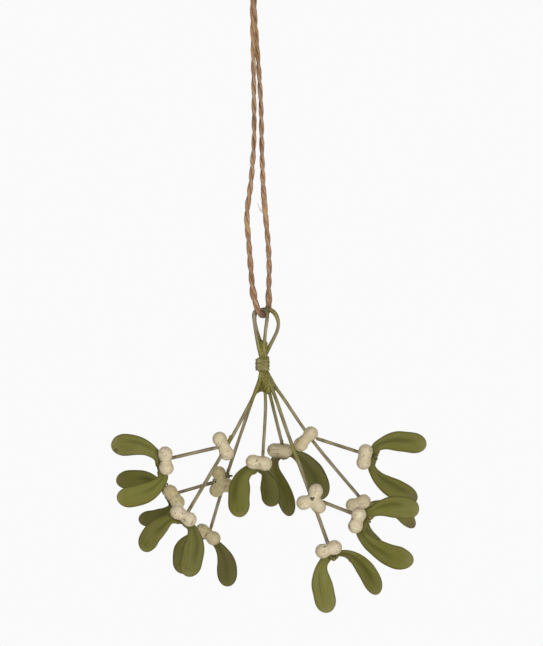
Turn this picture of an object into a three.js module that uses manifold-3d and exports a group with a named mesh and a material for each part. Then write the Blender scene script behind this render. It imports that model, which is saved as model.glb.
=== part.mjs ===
// Artificial mistletoe bunch that hangs on a loop of jute twine.
//
// Millimetres, +Z up. The front is seen along +Y, with +X to the right.
// The origin is the inside top of the twine eye, where a hook or nail holds the bunch.
//
// Two covered wires are bent double. Their bends are the hanging loops above the tie, and their
// legs run down through the tie and fan out as stems, with two single stems between them.
// Bead berries are strung on the forks and tips of the stems, and each tip carries a pair of leaves.

import * as THREE from "three";
import { mergeVertices } from "three/addons/utils/BufferGeometryUtils.js";
import Module from "manifold-3d";

const wasm = await Module();
wasm.setup();

// ---------------------------------------------------------------- driving dimensions

const CLEARANCE = 0.3;

const WIRE_RADIUS = 0.8;
const WIRE_SIDES = 6;
const STEPS_PER_SPAN = 3;

const BEAD_RADIUS = 3.6;
const CORE_RADIUS = 3;
const BALL_DETAIL = 1;
// Corners of a faceted ball stand out by this much, so that its facets lie about the true radius.
const FACET_GROWTH = 1.03;
const FORK_BEADS_FORWARD = 0.8;

const LEAF_NECK = 0.36;
const LEAF_NECK_END = 0.1;
const LEAF_START = 0.08;
const LEAF_WIDEST = 0.58;
const LEAF_TIP_START = 0.77;
const LEAF_STATIONS = [0.03, 0.14, 0.26, 0.4, 0.54, 0.68, 0.8, 0.9, 0.97];
const LEAF_BEHIND_BERRIES = 3;
const CROTCH_RADIUS = 1.5;

const TWINE_RADIUS = 1.25;
const TWINE_SIDES = 8;
const EYE_RADIUS = 5;

// The tie holds six stems in two columns and three rows.
const TIE = { x: 5, top: -203.5, bottom: -212 };
const COLUMN = 1.05;
const ROW = 2.05;
const WRAP_RADIUS = 0.7;
const WRAP_TURNS = 3.25;
const WRAP_PITCH = 1.85;
const WRAP_STEPS_PER_TURN = 14;

// Webs of dried glue between neighbouring stems, just below the tie.
const WEB_TOP = -216;
const WEB_RADIUS = 0.4;

const KNOT = { top: -12.5, bottom: -20.5, neck: 3.3, waist: 3.7, coil: 4.4 };

// ---------------------------------------------------------------- finishes

const finish = (color, roughness) => new THREE.MeshStandardMaterial({ color, roughness, metalness: 0 });
const LEAF_GREEN = finish(0x6c6a34, 0.75);
const BERRY_CREAM = finish(0xcdc0a0, 0.6);
const STEM_OLIVE = finish(0x8a8160, 0.7);
const LOOP_OLIVE = finish(0x87804f, 0.65);
const JUTE = finish(0xa07c5c, 0.95);

// ---------------------------------------------------------------- layout of the sprays

// Berry pair at each tip: its middle, the direction of its two beads (degrees from +X towards +Z)
// and how far apart they are.
// `crotch` is where its two leaves meet and `through` the way each leaf goes on to its tip, all as
// (x, z) from that middle. `roll` turns the blade about its own length, `rise` brings its tip forward
// and `neck` and `widest` are for leaves that start out broader or widen later than the others.
const TIPS = [
  {
    at: [-42.5, -26, -254], beads: -86, apart: 7, crotch: [-3, -4],
    leaves: [
      { through: [[-3.8, 1.3], [-8.4, 5.7], [-13.5, 7.6], [-20, 7.8], [-27, 7.3]],
        width: 10.7, roll: 8, rise: 1 },
      { through: [[-1.5, -8], [-5, -12.7], [-10, -15.7], [-16.5, -17.5], [-24, -18]],
        width: 10.4, roll: -6, rise: 5 },
    ],
  },
  {
    at: [-40.3, 20, -274.8], beads: -55, apart: 6.6, crotch: [-3.4, 0.2],
    leaves: [
      { through: [[-5.6, 4.5], [-11.2, 7.4], [-16.7, 8.3], [-22.4, 8.4], [-29.2, 7.7]],
        width: 9.9, roll: 0, rise: -3 },
      { through: [[-1.2, -4.8], [-4.2, -8.6], [-9.2, -10.6], [-18, -11.6]],
        width: 8.2, roll: 10, rise: 2 },
    ],
  },
  {
    at: [-33.5, -38, -280], beads: -32, apart: 6.8, crotch: [-0.5, -3],
    leaves: [
      { through: [[-6.2, -2.1], [-11, -5.1], [-15.1, -8.9], [-17.5, -13], [-19.3, -17.5]],
        width: 11, roll: 28, rise: 2 },
      { through: [[3.6, -5.8], [5.2, -11], [5, -16], [3.8, -22.5], [1.9, -29.6]],
        width: 10.8, roll: -5, rise: 3 },
    ],
  },
  {
    at: [-23.2, 26, -294.3], beads: -34, apart: 7, crotch: [-0.5, -1.5],
    leaves: [
      { through: [[-5.8, -0.2], [-10, -3.7], [-12.5, -8.7], [-13, -14.2], [-11.9, -20.6]],
        width: 10.3, roll: 0, rise: -2 },
      { through: [[3.6, -4.6], [7, -8.9], [9.2, -14.2], [9.8, -20.2], [10, -26.8]], widest: 0.7,
        width: 10.4, roll: 8, rise: 1 },
    ],
  },
  {
    at: [3, -16, -255.5], beads: -8, apart: 5.9, crotch: [-0.5, -3.2],
    leaves: [
      { through: [[-4.6, -3.8], [-8, -7.2], [-9.4, -12], [-9.9, -18.5], [-9.4, -27]], neck: 0.5,
        width: 10.9, roll: 6, rise: 2 },
      { through: [[2.7, -5], [4.7, -10], [5.8, -15.5], [6.5, -22]],
        width: 9.5, roll: 10, rise: -1 },
    ],
  },
  {
    at: [13.5, 24, -251.5], beads: -4, apart: 5.8, crotch: [0.8, -2.2],
    leaves: [
      { through: [[-2.2, -4.4], [-2.8, -9.4], [-0.7, -15.8], [2.5, -23], [5.5, -33.5]], neck: 0.5,
        width: 9.7, roll: -30, rise: 1 },
      { through: [[6, -2.1], [10.7, -4.8], [14.5, -8.9], [18.1, -13.8], [20.1, -19], [21.6, -25.4]],
        width: 11.3, roll: 5, rise: -2 },
    ],
  },
  {
    at: [37, -36, -296.5], beads: 17, apart: 6.1, crotch: [1.1, -4],
    leaves: [
      { through: [[-1.5, -5.4], [-3.4, -9.4], [-3.5, -15], [-2.2, -22], [-0.4, -31]], neck: 0.42,
        width: 10.5, roll: 4, rise: 2 },
      { through: [[4.3, -2.8], [8.7, -2.8], [13.1, -5], [17.3, -9.3], [21.1, -15], [23.7, -22.4]],
        width: 10.8, roll: 32, rise: 0 },
    ],
  },
  {
    at: [51, -32, -282.7], beads: -107, apart: 5.9, crotch: [5, 0],
    leaves: [
      { through: [[6.5, 3.5], [10.7, 5.8], [16.2, 6.5], [22.5, 6.2], [30.2, 4.7]],
        width: 10.8, roll: -5, rise: 3 },
      { through: [[2, -5.4], [5.3, -10.5], [10.2, -13.9], [15.6, -16.9], [21.3, -18.7], [27.5, -19.9]],
        neck: 0.46, widest: 0.75, width: 11.4, roll: 5, rise: 4 },
    ],
  },
  {
    at: [53.3, 20, -278], beads: 20, apart: 5.9, crotch: [4.5, -3],
    leaves: [
      { through: [[7.5, -0.5], [13.5, -1], [20, -4], [24.6, -8], [28.8, -12.9]],
        width: 7.5, roll: 15, rise: -4 },
      { through: [[3.6, -9.7], [5, -16.1], [8.6, -21.3], [13.4, -25.7], [20, -28.5]],
        width: 8.2, roll: -10, rise: -2 },
    ],
  },
  {
    at: [56, 4, -253.6], beads: -100, apart: 5.9, crotch: [5.2, 0.5],
    leaves: [
      { through: [[5.8, 4.4], [9.7, 6.7], [15.2, 7.7], [22.2, 7.2], [31.1, 5.7]], neck: 0.46,
        width: 10.5, roll: 6, rise: 1 },
      { through: [[3.6, -5], [6.6, -9.8], [11.3, -13.7], [17.5, -17.2], [26.5, -22.2]],
        width: 10.2, roll: -6, rise: -2 },
    ],
  },
];

// Fork: where the side stem leaves the stem, and the beads strung there (x, z).
const FORKS = [
  { at: [-12.7, -19, -247], beads: [[-16.2, -243.6], [-12.8, -250.6]] },
  { at: [-14.8, 17.5, -268], beads: [[-17.4, -262.5], [-18.6, -271.1], [-13.4, -268.6]] },
  { at: [29.2, -26, -273], beads: [[30.9, -268.8], [24.9, -274.2], [32.4, -276.3]] },
  { at: [29.6, 10, -245.3], beads: [[29.1, -242.3], [24.1, -247.4]] },
];

const [FORK_1, FORK_2, FORK_3, FORK_4] = FORKS.map((fork) => fork.at);

// A stem's two points in the tie, from the top down.
const inTie = (column, row) => [
  [TIE.x + column * COLUMN, row * ROW, TIE.top],
  [TIE.x + column * COLUMN, row * ROW, TIE.bottom],
];

// Stems, each from the tie down into its tip berries.
const STEM_1 = [...inTie(-1, -1), [1.6, -5.5, -220], [-5.7, -13, -234.5], FORK_1, [-32.1, -38, -279.5]];
const STEM_2 = [...inTie(-1, 1), [0.5, 6, -222.5], [-5.6, 12, -240.5], FORK_2, [-22.4, 26, -293.4]];
const STEM_3 = [...inTie(-1, 0), [6.1, -3, -222], [4.9, -16, -254.2]];
const STEM_4 = [...inTie(1, 1), [8.4, 6, -222], [15.4, 24, -251]];
const STEM_5 = [...inTie(1, -1), [10.2, -6, -221], [17.4, -13.5, -241.4], FORK_3, [37.6, -36, -296.2]];
const STEM_6 = [...inTie(1, 0), [8.2, 0.5, -215.2], [12.4, 1.4, -220.2], FORK_4, [55.7, 20, -277]];

// The two single stems stand out above the tie, between the legs of the loops.
const STEM_3_TOP = [[4.6, 0, -195], [4.2, 0, -199.5]];
const STEM_6_TOP = [[6.4, 0, -195.5], [6.2, 0, -199.5]];

// Hanging loops, from the left column of the tie over the top to the right column.
const FRONT_LOOP = [
  [3, -2, -199], [1.4, -1.8, -191], [0.6, -1.4, -185], [0.4, -1.3, -182.2], [1.3, -1.3, -180.4],
  [4.1, -1.3, -179.9], [6.2, -1.3, -180], [7.1, -1.3, -182], [6.3, -1.7, -190], [5.6, -2, -199],
];
const BACK_LOOP = [
  [4.6, 2.05, -199], [3.4, 1.9, -195], [1.7, 1.6, -189.5], [0.9, 1.4, -184.8], [1.5, 1.3, -181.6],
  [4.2, 1.3, -179.9], [8.2, 1.3, -179.8], [10.7, 1.4, -181.4], [12.2, 1.5, -184.2], [12.7, 1.6, -187],
  [12.2, 1.7, -190], [10.8, 1.9, -193.3], [7.9, 2.05, -199],
];

// Glue webs: the two stems each one joins and how far down it reaches on them.
const WEBS = [
  { name: "glue_web_left", from: [STEM_1, -220], to: [STEM_3, -219.5] },
  { name: "glue_web_middle", from: [STEM_3, -223.5], to: [STEM_4, -223.5] },
  { name: "glue_web_right", from: [STEM_5, -220.5], to: [STEM_6, -219.8] },
];

// Side stems: straight, from a bead at the fork into the berries at their end.
const SIDE_STEMS = [
  [[-16.6, -19.5, -247.6], [-42.2, -26, -253.2]],
  [[-18.4, 17.8, -266.8], [-39.5, 20, -273]],
  [[31.5, -26.5, -273], [50.9, -32, -280.2]],
  [[31.5, 9.6, -244.5], [55.1, 4, -251.9]],
];

// The twine, from the knot down its left strand, under both wire loops and up its right strand.
const TWINE = [
  [-0.3, -1.6, KNOT.bottom - CLEARANCE], [-0.2, -1.6, -35], [0.2, -1.6, -55], [0.5, -1.8, -75],
  [0.5, -2.2, -96], [-1.1, -2.6, -117], [-3, -3, -133], [-2.1, -3.4, -146], [-1, -3.9, -160],
  [0.2, -4.5, -172], [1.8, -4.8, -178], [3.1, -3.3, -181.2], [4.7, 0, -182.5],
  [6.6, 3.3, -181.4], [7.8, 4.8, -178], [7.8, 4.6, -172], [8.1, 4.2, -159], [7.5, 3.7, -146],
  [6.2, 3.2, -132], [5, 2.8, -116], [4.5, 2.4, -102], [3.9, 2, -76], [2.9, 1.7, -60],
  [1.9, 1.6, -46], [1, 1.6, -34], [0.5, 1.6, KNOT.bottom - CLEARANCE],
];

// The eye above the knot: two strands that open into a half circle over the origin.
const EYE = [
  [-1.7, 0, KNOT.top + CLEARANCE], [-1.8, 0, -11.2], [-3.6, 0, -8.2],
  ...[0, 1, 2, 3, 4, 5, 6].map((step) => {
    const angle = Math.PI * (1 - step / 6);
    return [EYE_RADIUS * Math.cos(angle), 0, TWINE_RADIUS - EYE_RADIUS + EYE_RADIUS * Math.sin(angle)];
  }),
  [3.6, 0, -8.2], [1.8, 0, -11.2], [1.7, 0, KNOT.top + CLEARANCE],
];

// ---------------------------------------------------------------- solids

// A closed geometry as a manifold-3d solid, and back.
function solid(geometry) {
  const bare = geometry.clone();
  bare.deleteAttribute("normal");
  bare.deleteAttribute("uv");
  const merged = mergeVertices(bare, 1e-4);
  return new wasm.Manifold(new wasm.Mesh({
    numProp: 3,
    vertProperties: new Float32Array(merged.attributes.position.array),
    triVerts: new Uint32Array(merged.index.array),
  }));
}

function geometryOf(manifold) {
  const mesh = manifold.getMesh();
  const geometry = new THREE.BufferGeometry();
  geometry.setAttribute("position", new THREE.BufferAttribute(new Float32Array(mesh.vertProperties), 3));
  geometry.setIndex(new THREE.BufferAttribute(new Uint32Array(mesh.triVerts), 1));
  geometry.computeVertexNormals();
  return geometry;
}

// A smooth route through hand-placed points. Its steps follow the points, so they are
// short where the points are close together, round the bends.
class Route extends THREE.CatmullRomCurve3 {
  constructor(points) {
    super(points.map((point) => new THREE.Vector3(...point)), false, "centripetal");
  }

  getPointAt(u, target) {
    return this.getPoint(u, target);
  }

  getTangentAt(u, target) {
    return this.getTangent(u, target);
  }
}

function tubeAlong(curve, radius, sides, steps) {
  const corners = Array.from({ length: sides }, (_, index) => {
    const angle = (2 * Math.PI * index) / sides;
    return new THREE.Vector2(radius * Math.cos(angle), radius * Math.sin(angle));
  });
  return new THREE.ExtrudeGeometry(new THREE.Shape(corners), { steps, extrudePath: curve });
}

const wire = (points, radius = WIRE_RADIUS) =>
  tubeAlong(new Route(points), radius, WIRE_SIDES, STEPS_PER_SPAN * (points.length - 1));

// The same route with its last point moved back towards the one before it.
function trimmedEnd(points, distance) {
  const last = new THREE.Vector3(...points.at(-1));
  const back = new THREE.Vector3(...points.at(-2)).sub(last).setLength(distance);
  return [...points.slice(0, -1), last.add(back).toArray()];
}

const trimmedStart = (points, distance) => trimmedEnd([...points].reverse(), distance).reverse();

// A closed skin over rings of points with the same count, closed by a point at each end.
function loft(startPoint, rings, endPoint) {
  const count = rings[0].length;
  const positions = [startPoint, ...rings.flat(), endPoint];
  const last = positions.length - 1;
  const at = (ring, index) => 1 + ring * count + (index % count);
  const triangles = [];
  for (let index = 0; index < count; index += 1) {
    triangles.push(0, at(0, index), at(0, index + 1));
    for (let ring = 0; ring < rings.length - 1; ring += 1) {
      triangles.push(at(ring, index), at(ring + 1, index + 1), at(ring, index + 1));
      triangles.push(at(ring, index), at(ring + 1, index), at(ring + 1, index + 1));
    }
    triangles.push(last, at(rings.length - 1, index + 1), at(rings.length - 1, index));
  }
  const geometry = new THREE.BufferGeometry();
  geometry.setAttribute("position", new THREE.Float32BufferAttribute(positions.flatMap((p) => p.toArray()), 3));
  geometry.setIndex(triangles);
  return geometry;
}

// ---------------------------------------------------------------- berries

const ball = (radius, centre) =>
  solid(new THREE.IcosahedronGeometry(FACET_GROWTH * radius, BALL_DETAIL).translate(...centre));

function beadCluster(centres) {
  const middle = centres
    .reduce((sum, centre) => sum.add(new THREE.Vector3(...centre)), new THREE.Vector3())
    .divideScalar(centres.length);
  return centres.reduce(
    (cluster, centre) => cluster.add(ball(BEAD_RADIUS, centre)),
    ball(CORE_RADIUS, middle.toArray()),
  );
}

function pairCentres(tip) {
  const angle = THREE.MathUtils.degToRad(tip.beads);
  const [x, y, z] = tip.at;
  return [-0.5, 0.5].map((side) => [
    x + side * tip.apart * Math.cos(angle),
    y,
    z + side * tip.apart * Math.sin(angle),
  ]);
}

// ---------------------------------------------------------------- leaves

const smooth = (low, high, value) => THREE.MathUtils.smoothstep(value, low, high);

// Half the blade's width at a share s of its length, as a share of half its full width.
function leafProfile({ neck = LEAF_NECK, widest = LEAF_WIDEST }, s) {
  const body = neck + (1 - neck) * smooth(LEAF_NECK_END, widest, s);
  const towardsTip = Math.max(0, (s - LEAF_TIP_START) / (1 - LEAF_TIP_START));
  const towardsStart = Math.max(0, 1 - s / LEAF_START);
  return body * Math.sqrt((1 - towardsTip ** 2) * (1 - towardsStart ** 2));
}

// The blade's section, from one edge over the front to the other and back behind:
// across the blade (share of the half width) and out of it (mm). Two ribs flank a middle groove.
const BLADE_SECTION = [
  [-1, 0.35], [-0.5, 0.85], [0, 0.5], [0.5, 0.85], [1, 0.35], [1, -0.35], [0, -0.9], [-1, -0.35],
];

function leafBlade(tip, leaf) {
  const [x, y, z] = tip.at;
  const way = [tip.crotch, ...leaf.through];
  const middle = new THREE.CatmullRomCurve3(way.map(([dx, dz], index) => new THREE.Vector3(
    x + dx,
    y + LEAF_BEHIND_BERRIES - leaf.rise * smooth(0, 1, index / (way.length - 1)),
    z + dz,
  )), false, "centripetal");
  const roll = THREE.MathUtils.degToRad(leaf.roll);
  const ringAt = (share) => {
    const along = middle.getTangentAt(share).setY(0).normalize();
    const front = new THREE.Vector3(0, -1, 0).applyAxisAngle(along, roll);
    const across = front.clone().cross(along);
    const halfWidth = (leaf.width / 2) * leafProfile(leaf, share);
    return BLADE_SECTION.map(([u, out]) =>
      middle.getPointAt(share).addScaledVector(across, u * halfWidth).addScaledVector(front, out));
  };
  return loft(middle.getPoint(0), LEAF_STATIONS.map(ringAt), middle.getPoint(1));
}

function leafPair(tip) {
  const [x, y, z] = tip.at;
  const crotch = [x + tip.crotch[0], y + LEAF_BEHIND_BERRIES, z + tip.crotch[1]];
  return tip.leaves.reduce(
    (pair, leaf) => pair.add(solid(leafBlade(tip, leaf))),
    ball(CROTCH_RADIUS, crotch),
  );
}

// The berries of a tip, grown by the clearance, to cut the leaves that lie behind them.
const roomForBerries = (tip) =>
  pairCentres(tip)
    .map((centre) => ball(BEAD_RADIUS + CLEARANCE, centre))
    .reduce((room, bead) => room.add(bead), ball(CORE_RADIUS + CLEARANCE, tip.at));

// ---------------------------------------------------------------- tie wrap

// Helix whose turns follow the rounded outline of the six stems. It starts at the front right
// and goes down towards the left.
class WrapCoil extends THREE.Curve {
  getPoint(t, target = new THREE.Vector3()) {
    const angle = -2 * Math.PI * (WRAP_TURNS * t + 0.12);
    const flat = (value) => THREE.MathUtils.clamp(2.5 * value, -1, 1);
    const corner = WIRE_RADIUS + CLEARANCE + WRAP_RADIUS;
    const middle = (TIE.top + TIE.bottom) / 2;
    return target.set(
      TIE.x + COLUMN * flat(Math.cos(angle)) + corner * Math.cos(angle),
      ROW * flat(Math.sin(angle)) + corner * Math.sin(angle),
      middle + WRAP_TURNS * WRAP_PITCH * (0.5 - t),
    );
  }
}

const tieWrap = () =>
  tubeAlong(new WrapCoil(), WRAP_RADIUS, WIRE_SIDES, Math.round(WRAP_TURNS * WRAP_STEPS_PER_TURN));

// ---------------------------------------------------------------- glue webs

// The point of a stem's route at a height.
function pointAtHeight(points, height) {
  const samples = new Route(points).getPoints(60 * points.length);
  return samples.find((point) => point.z < height).toArray();
}

function glueWeb(web) {
  const corners = [web.from, web.to].flatMap(([stem, bottom]) =>
    [WEB_TOP, bottom].map((height) => ball(WEB_RADIUS, pointAtHeight(stem, height))));
  return wasm.Manifold.hull(corners);
}

// ---------------------------------------------------------------- twine knot

// Three coils of twine drawn tight round the two strands, with flat ends.
function twineKnot() {
  const height = KNOT.top - KNOT.bottom;
  const profile = [[0, 0], [KNOT.neck, 0]];
  for (let coil = 0; coil < 3; coil += 1) {
    const low = (height * coil) / 3;
    profile.push([KNOT.coil, low + height / 12], [KNOT.coil, low + height / 4]);
    if (coil < 2) profile.push([KNOT.waist, low + height / 3]);
  }
  profile.push([KNOT.neck, height], [0, height]);
  const lathe = new THREE.LatheGeometry(profile.map(([r, h]) => new THREE.Vector2(r, h)), 12);
  return lathe.rotateX(Math.PI / 2).translate(0, 0, KNOT.bottom);
}

// ---------------------------------------------------------------- assembly

const bunch = new THREE.Group();

function place(name, geometry, material) {
  const mesh = new THREE.Mesh(geometry, material);
  mesh.name = name;
  bunch.add(mesh);
}

const endTrim = (points) => trimmedEnd(points, CLEARANCE);

place("front_wire", wire([...endTrim(STEM_1).reverse(), ...FRONT_LOOP, ...endTrim(STEM_5)]), LOOP_OLIVE);
place("back_wire", wire([...endTrim(STEM_2).reverse(), ...BACK_LOOP, ...endTrim(STEM_4)]), LOOP_OLIVE);
place("middle_stem", wire([...STEM_3_TOP, ...endTrim(STEM_3)]), STEM_OLIVE);
place("right_stem", wire([...STEM_6_TOP, ...endTrim(STEM_6)]), STEM_OLIVE);
SIDE_STEMS.forEach((route, index) => {
  place(`side_stem_${index + 1}`, wire(endTrim(trimmedStart(route, CLEARANCE))), STEM_OLIVE);
});
place("tie_wrap", tieWrap(), LOOP_OLIVE);

// Channels that the wires need in the berries and webs they pass through or end in.
const channels = [STEM_1, STEM_2, STEM_3, STEM_4, STEM_5, STEM_6, ...SIDE_STEMS]
  .map((route) => solid(wire(route, WIRE_RADIUS + CLEARANCE)));
const threaded = (cluster) => channels.reduce((rest, channel) => rest.subtract(channel), cluster);

WEBS.forEach((web) => {
  place(web.name, geometryOf(threaded(glueWeb(web))), LOOP_OLIVE);
});

FORKS.forEach((fork, index) => {
  const centres = fork.beads.map(([x, z]) => [x, fork.at[1] - FORK_BEADS_FORWARD, z]);
  place(`fork_berries_${index + 1}`, geometryOf(threaded(beadCluster(centres))), BERRY_CREAM);
});

TIPS.forEach((tip, index) => {
  place(`tip_berries_${index + 1}`, geometryOf(threaded(beadCluster(pairCentres(tip)))), BERRY_CREAM);
  const leaves = threaded(leafPair(tip)).subtract(roomForBerries(tip));
  place(`leaf_pair_${index + 1}`, geometryOf(leaves), LEAF_GREEN);
});

place("twine", tubeAlong(new Route(TWINE), TWINE_RADIUS, TWINE_SIDES, STEPS_PER_SPAN * (TWINE.length - 1)), JUTE);
place("twine_knot", twineKnot(), JUTE);
place("twine_eye", tubeAlong(new Route(EYE), TWINE_RADIUS, TWINE_SIDES, 2 * (EYE.length - 1)), JUTE);

export default bunch;
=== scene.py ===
"""Looks of an artificial mistletoe bunch that hangs on a loop of two-ply jute twine.

Lengths are in millimetres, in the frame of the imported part, and are scaled by MM where Blender takes
them. The front is seen along +Y. The layout of sprays and routes is the part's own, and each piece
made here is a finer form of the CAD node that it replaces.
"""

import math

import bmesh
import bpy
import numpy as np
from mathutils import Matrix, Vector, noise
from numpy.linalg import norm


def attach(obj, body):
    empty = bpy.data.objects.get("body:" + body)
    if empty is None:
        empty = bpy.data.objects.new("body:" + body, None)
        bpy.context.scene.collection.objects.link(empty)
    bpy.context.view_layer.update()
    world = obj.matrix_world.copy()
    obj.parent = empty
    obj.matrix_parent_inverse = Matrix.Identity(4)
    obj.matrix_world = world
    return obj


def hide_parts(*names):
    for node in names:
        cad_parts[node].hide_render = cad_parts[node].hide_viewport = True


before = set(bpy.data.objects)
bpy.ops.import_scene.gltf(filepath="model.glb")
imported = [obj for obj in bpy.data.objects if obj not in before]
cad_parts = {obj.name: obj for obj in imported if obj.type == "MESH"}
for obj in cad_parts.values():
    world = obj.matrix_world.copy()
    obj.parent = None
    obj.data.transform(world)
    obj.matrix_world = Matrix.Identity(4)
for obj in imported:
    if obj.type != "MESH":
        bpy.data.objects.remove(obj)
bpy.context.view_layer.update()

MM = 0.001
FORWARD = np.array([0.0, -1.0, 0.0])

# ---- driving dimensions

WIRE_RADIUS = 0.8
WIRE_SIDES = 14
WIRE_STEP = 0.8
# Finished radius of each cover below the tie and how weathered its lower part is, and all covers'
# radius above the tie.
COVERS = {"front": (0.92, 0.4), "back": (0.85, 0.5), "middle": (0.82, 0), "right": (0.86, 0.5),
          "side": (0.9, 1)}
LOOP_RADIUS = 0.88
# Heights between which a wire takes the loops' radius, gets soaked with glue, turns green and gets
# weathered, and those between which the last of the glue above the tie ends.
LOOP_RADIUS_FROM = (-212, -204)
SOAKED_FROM = (-224, -213)
GREEN_FROM = (-236, -217)
WEATHERED_FROM = (-238, -262)
UNGLUED_FROM = (-190, -200)
# By what share a cover swells where glue soaks it, and at a lump of glue on the back loop.
TIE_SWELL = 0.15
LOOP_SWELL = 0.32
# Middle and reach of that lump, of a green stain on the front right stem, and of the shaded,
# glue-soaked place where the twine turns up behind the wire loops.
LOOP_SPOT = ((10.2, 1.4, -181.8), 4.6)
GREEN_SPOT = ((20, -17, -250), 7)
DARK_SPOT = ((4.7, -0.6, -181), 3.3)
# The dark glue on a wire where it goes into its berries, measured back from the wire's end.
COLLAR = {"from_end": 4, "width": 1, "share": 0.75}
CLEARANCE = 0.3

TIE = {"x": 5, "top": -203.5, "bottom": -212}
COLUMN = 1.05
ROW = 2.05
WRAP_RADIUS = 0.9
WRAP_X = 4.75
WRAP_TOP = -204.2
WRAP_PITCH = 1.75
WRAP_TURNS = 3.45
# How far the wrap's middle line lies from the middles of the stems, and its skin of glue from that
# line as a share of its radius. WRAP_DARK is how much darker the wrap is than the stems.
WRAP_OUT = WIRE_RADIUS + 0.95
WRAP_FILLING = 0.78
WRAP_DARK = 0.14
# The wrap's raised upper end, and where it is pulled in, both as (turn, height or turns that it goes
# on for, by how much it is closer to the stems).
WRAP_END = [(0.03, -203.7, 0.1), (0.08, -204.1, 0.2)]
WRAP_PULLED_IN = [(0.4, 0.35, 0.5), (WRAP_TURNS, 0.5, 0.6)]
# How far to the left and right of its middle the wrap's green glue starts to thin out, and is thinnest.
# That greener middle is partly glue and partly a painted highlight.
WRAP_GREEN = (0.9, 2.9)
WRAP_GREEN_X = WRAP_X + 0.4
WEB_TOP = -211
# Half the thickness of a web at its middle, and how much that grows up to the stems.
WEB_THIN = 0.55
WEB_FLARE = 0.35

BEAD_RADIUS = 3.6
CORE_RADIUS = 2.55
BEAD_BLEND = 0.55
FORK_BEADS_FORWARD = 0.8
SEAM_DEPTH = 0.2
SEAM_WIDTH = 0.35

# Shares of a leaf's length: where it stops being rounded off, its neck ends and its tip starts.
LEAF_START = 0.08
LEAF_NECK_END = 0.1
LEAF_TIP_START = 0.77
# A leaf's usual width at its neck as a share of its full width, and where it is widest.
LEAF_NECK = 0.36
LEAF_WIDEST = 0.58
LEAF_STATIONS = 84
LEAF_BEHIND_BERRIES = 3
CROTCH_RADIUS = 1.5
RIM_THICKNESS = 0.34
RIB_HEIGHT = 0.5
GROOVE_DEPTH = 0.16
BACK_HEIGHT = 0.52
# Places across the blade as shares of its half width, closer together at the edges.
FRONT_SHARES = [0.5 * (share + math.sin(share * math.pi / 2)) for share in np.linspace(1, -1, 29)]
BACK_SHARES = [math.sin(share * math.pi / 2) for share in np.linspace(-1, 1, 15)][1:-1]

PLY_RADIUS = 0.83
PLY_OFFSET = 0.45
PLY_SIDES = 20
FIBRE_TWIST = 0.16
TWINE_DIAMETER = 2 * (PLY_RADIUS + PLY_OFFSET)
TWINE_STEP = 0.4
# From the upper to the lower height one turn of the plies gets shorter, each ply thicker and darker.
TWINE_PITCH = {"upper": 18.5, "lower": 15, "heights": (-85, -115)}
FULLER_BELOW = {"heights": (-95, -125), "swell": 0.13}
SHADED_BELOW = {"heights": (-140, -170), "share": 0.2}
TUFT = {"at": (5, -0.2, -180.9), "half_size": (2, 1.4, 1.15)}
EYE_RADIUS = 5
KNOT = {"top": -12.5, "bottom": -20.5, "coil": 3.1, "turns": 3}

CAMERA_DISTANCE = 1300
CAMERA_AIM = (9.25, 0, -186.5)
CAMERA_LENS = 144.9
FLOOR_HEIGHT = -600
FLOOR_RADIUS = 1100
# How much the floor is brightened to the camera, so that it stays pale below the dim surroundings.
FLOOR_GLOW = 0.5
# How brightly the surroundings shine on the bunch, as a share of their own white.
SURROUNDINGS = 0.2

# ---- layout of the sprays


def blade(width, roll, rise, tone, *through, **more):
    """`roll` turns the blade about its length, `rise` brings its tip forward, `tone` darkens it.

    `through` is its way from the crotch to its tip. `neck` and `widest` stand in for LEAF_NECK and
    LEAF_WIDEST, and `fresh` is how bright a green it is. `tone` is partly the leaf's own and partly
    painted shade. `streak` is the dark line along it, painted shade in the groove that it presses into
    the front: its place and spread across, its strength, and its start and end. A mark is a dent or stain
    on its front: its share of the length, its share across, its radius, how deep it is and how brown it is.
    """
    return dict(width=width, roll=roll, rise=rise, tone=tone, through=through) | more


def spray(at, beads, apart, crotch, berries, *leaves):
    """`beads` is the direction of the two berries in degrees and `apart` their spacing.

    `crotch` is where the two leaves meet. It and the leaves' points are (x, z) from the berries' middle.
    `berries` is what add_beads() takes of their looks. A line on them, a fine brown crack or a stroke of
    painted shade, is its (x, z) from their middle, half length, half width, slope in degrees and strength,
    and a stain its (x, z), radius and strength.
    """
    return dict(at=at, beads=beads, apart=apart, crotch=crotch, berries=berries, leaves=leaves)


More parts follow.
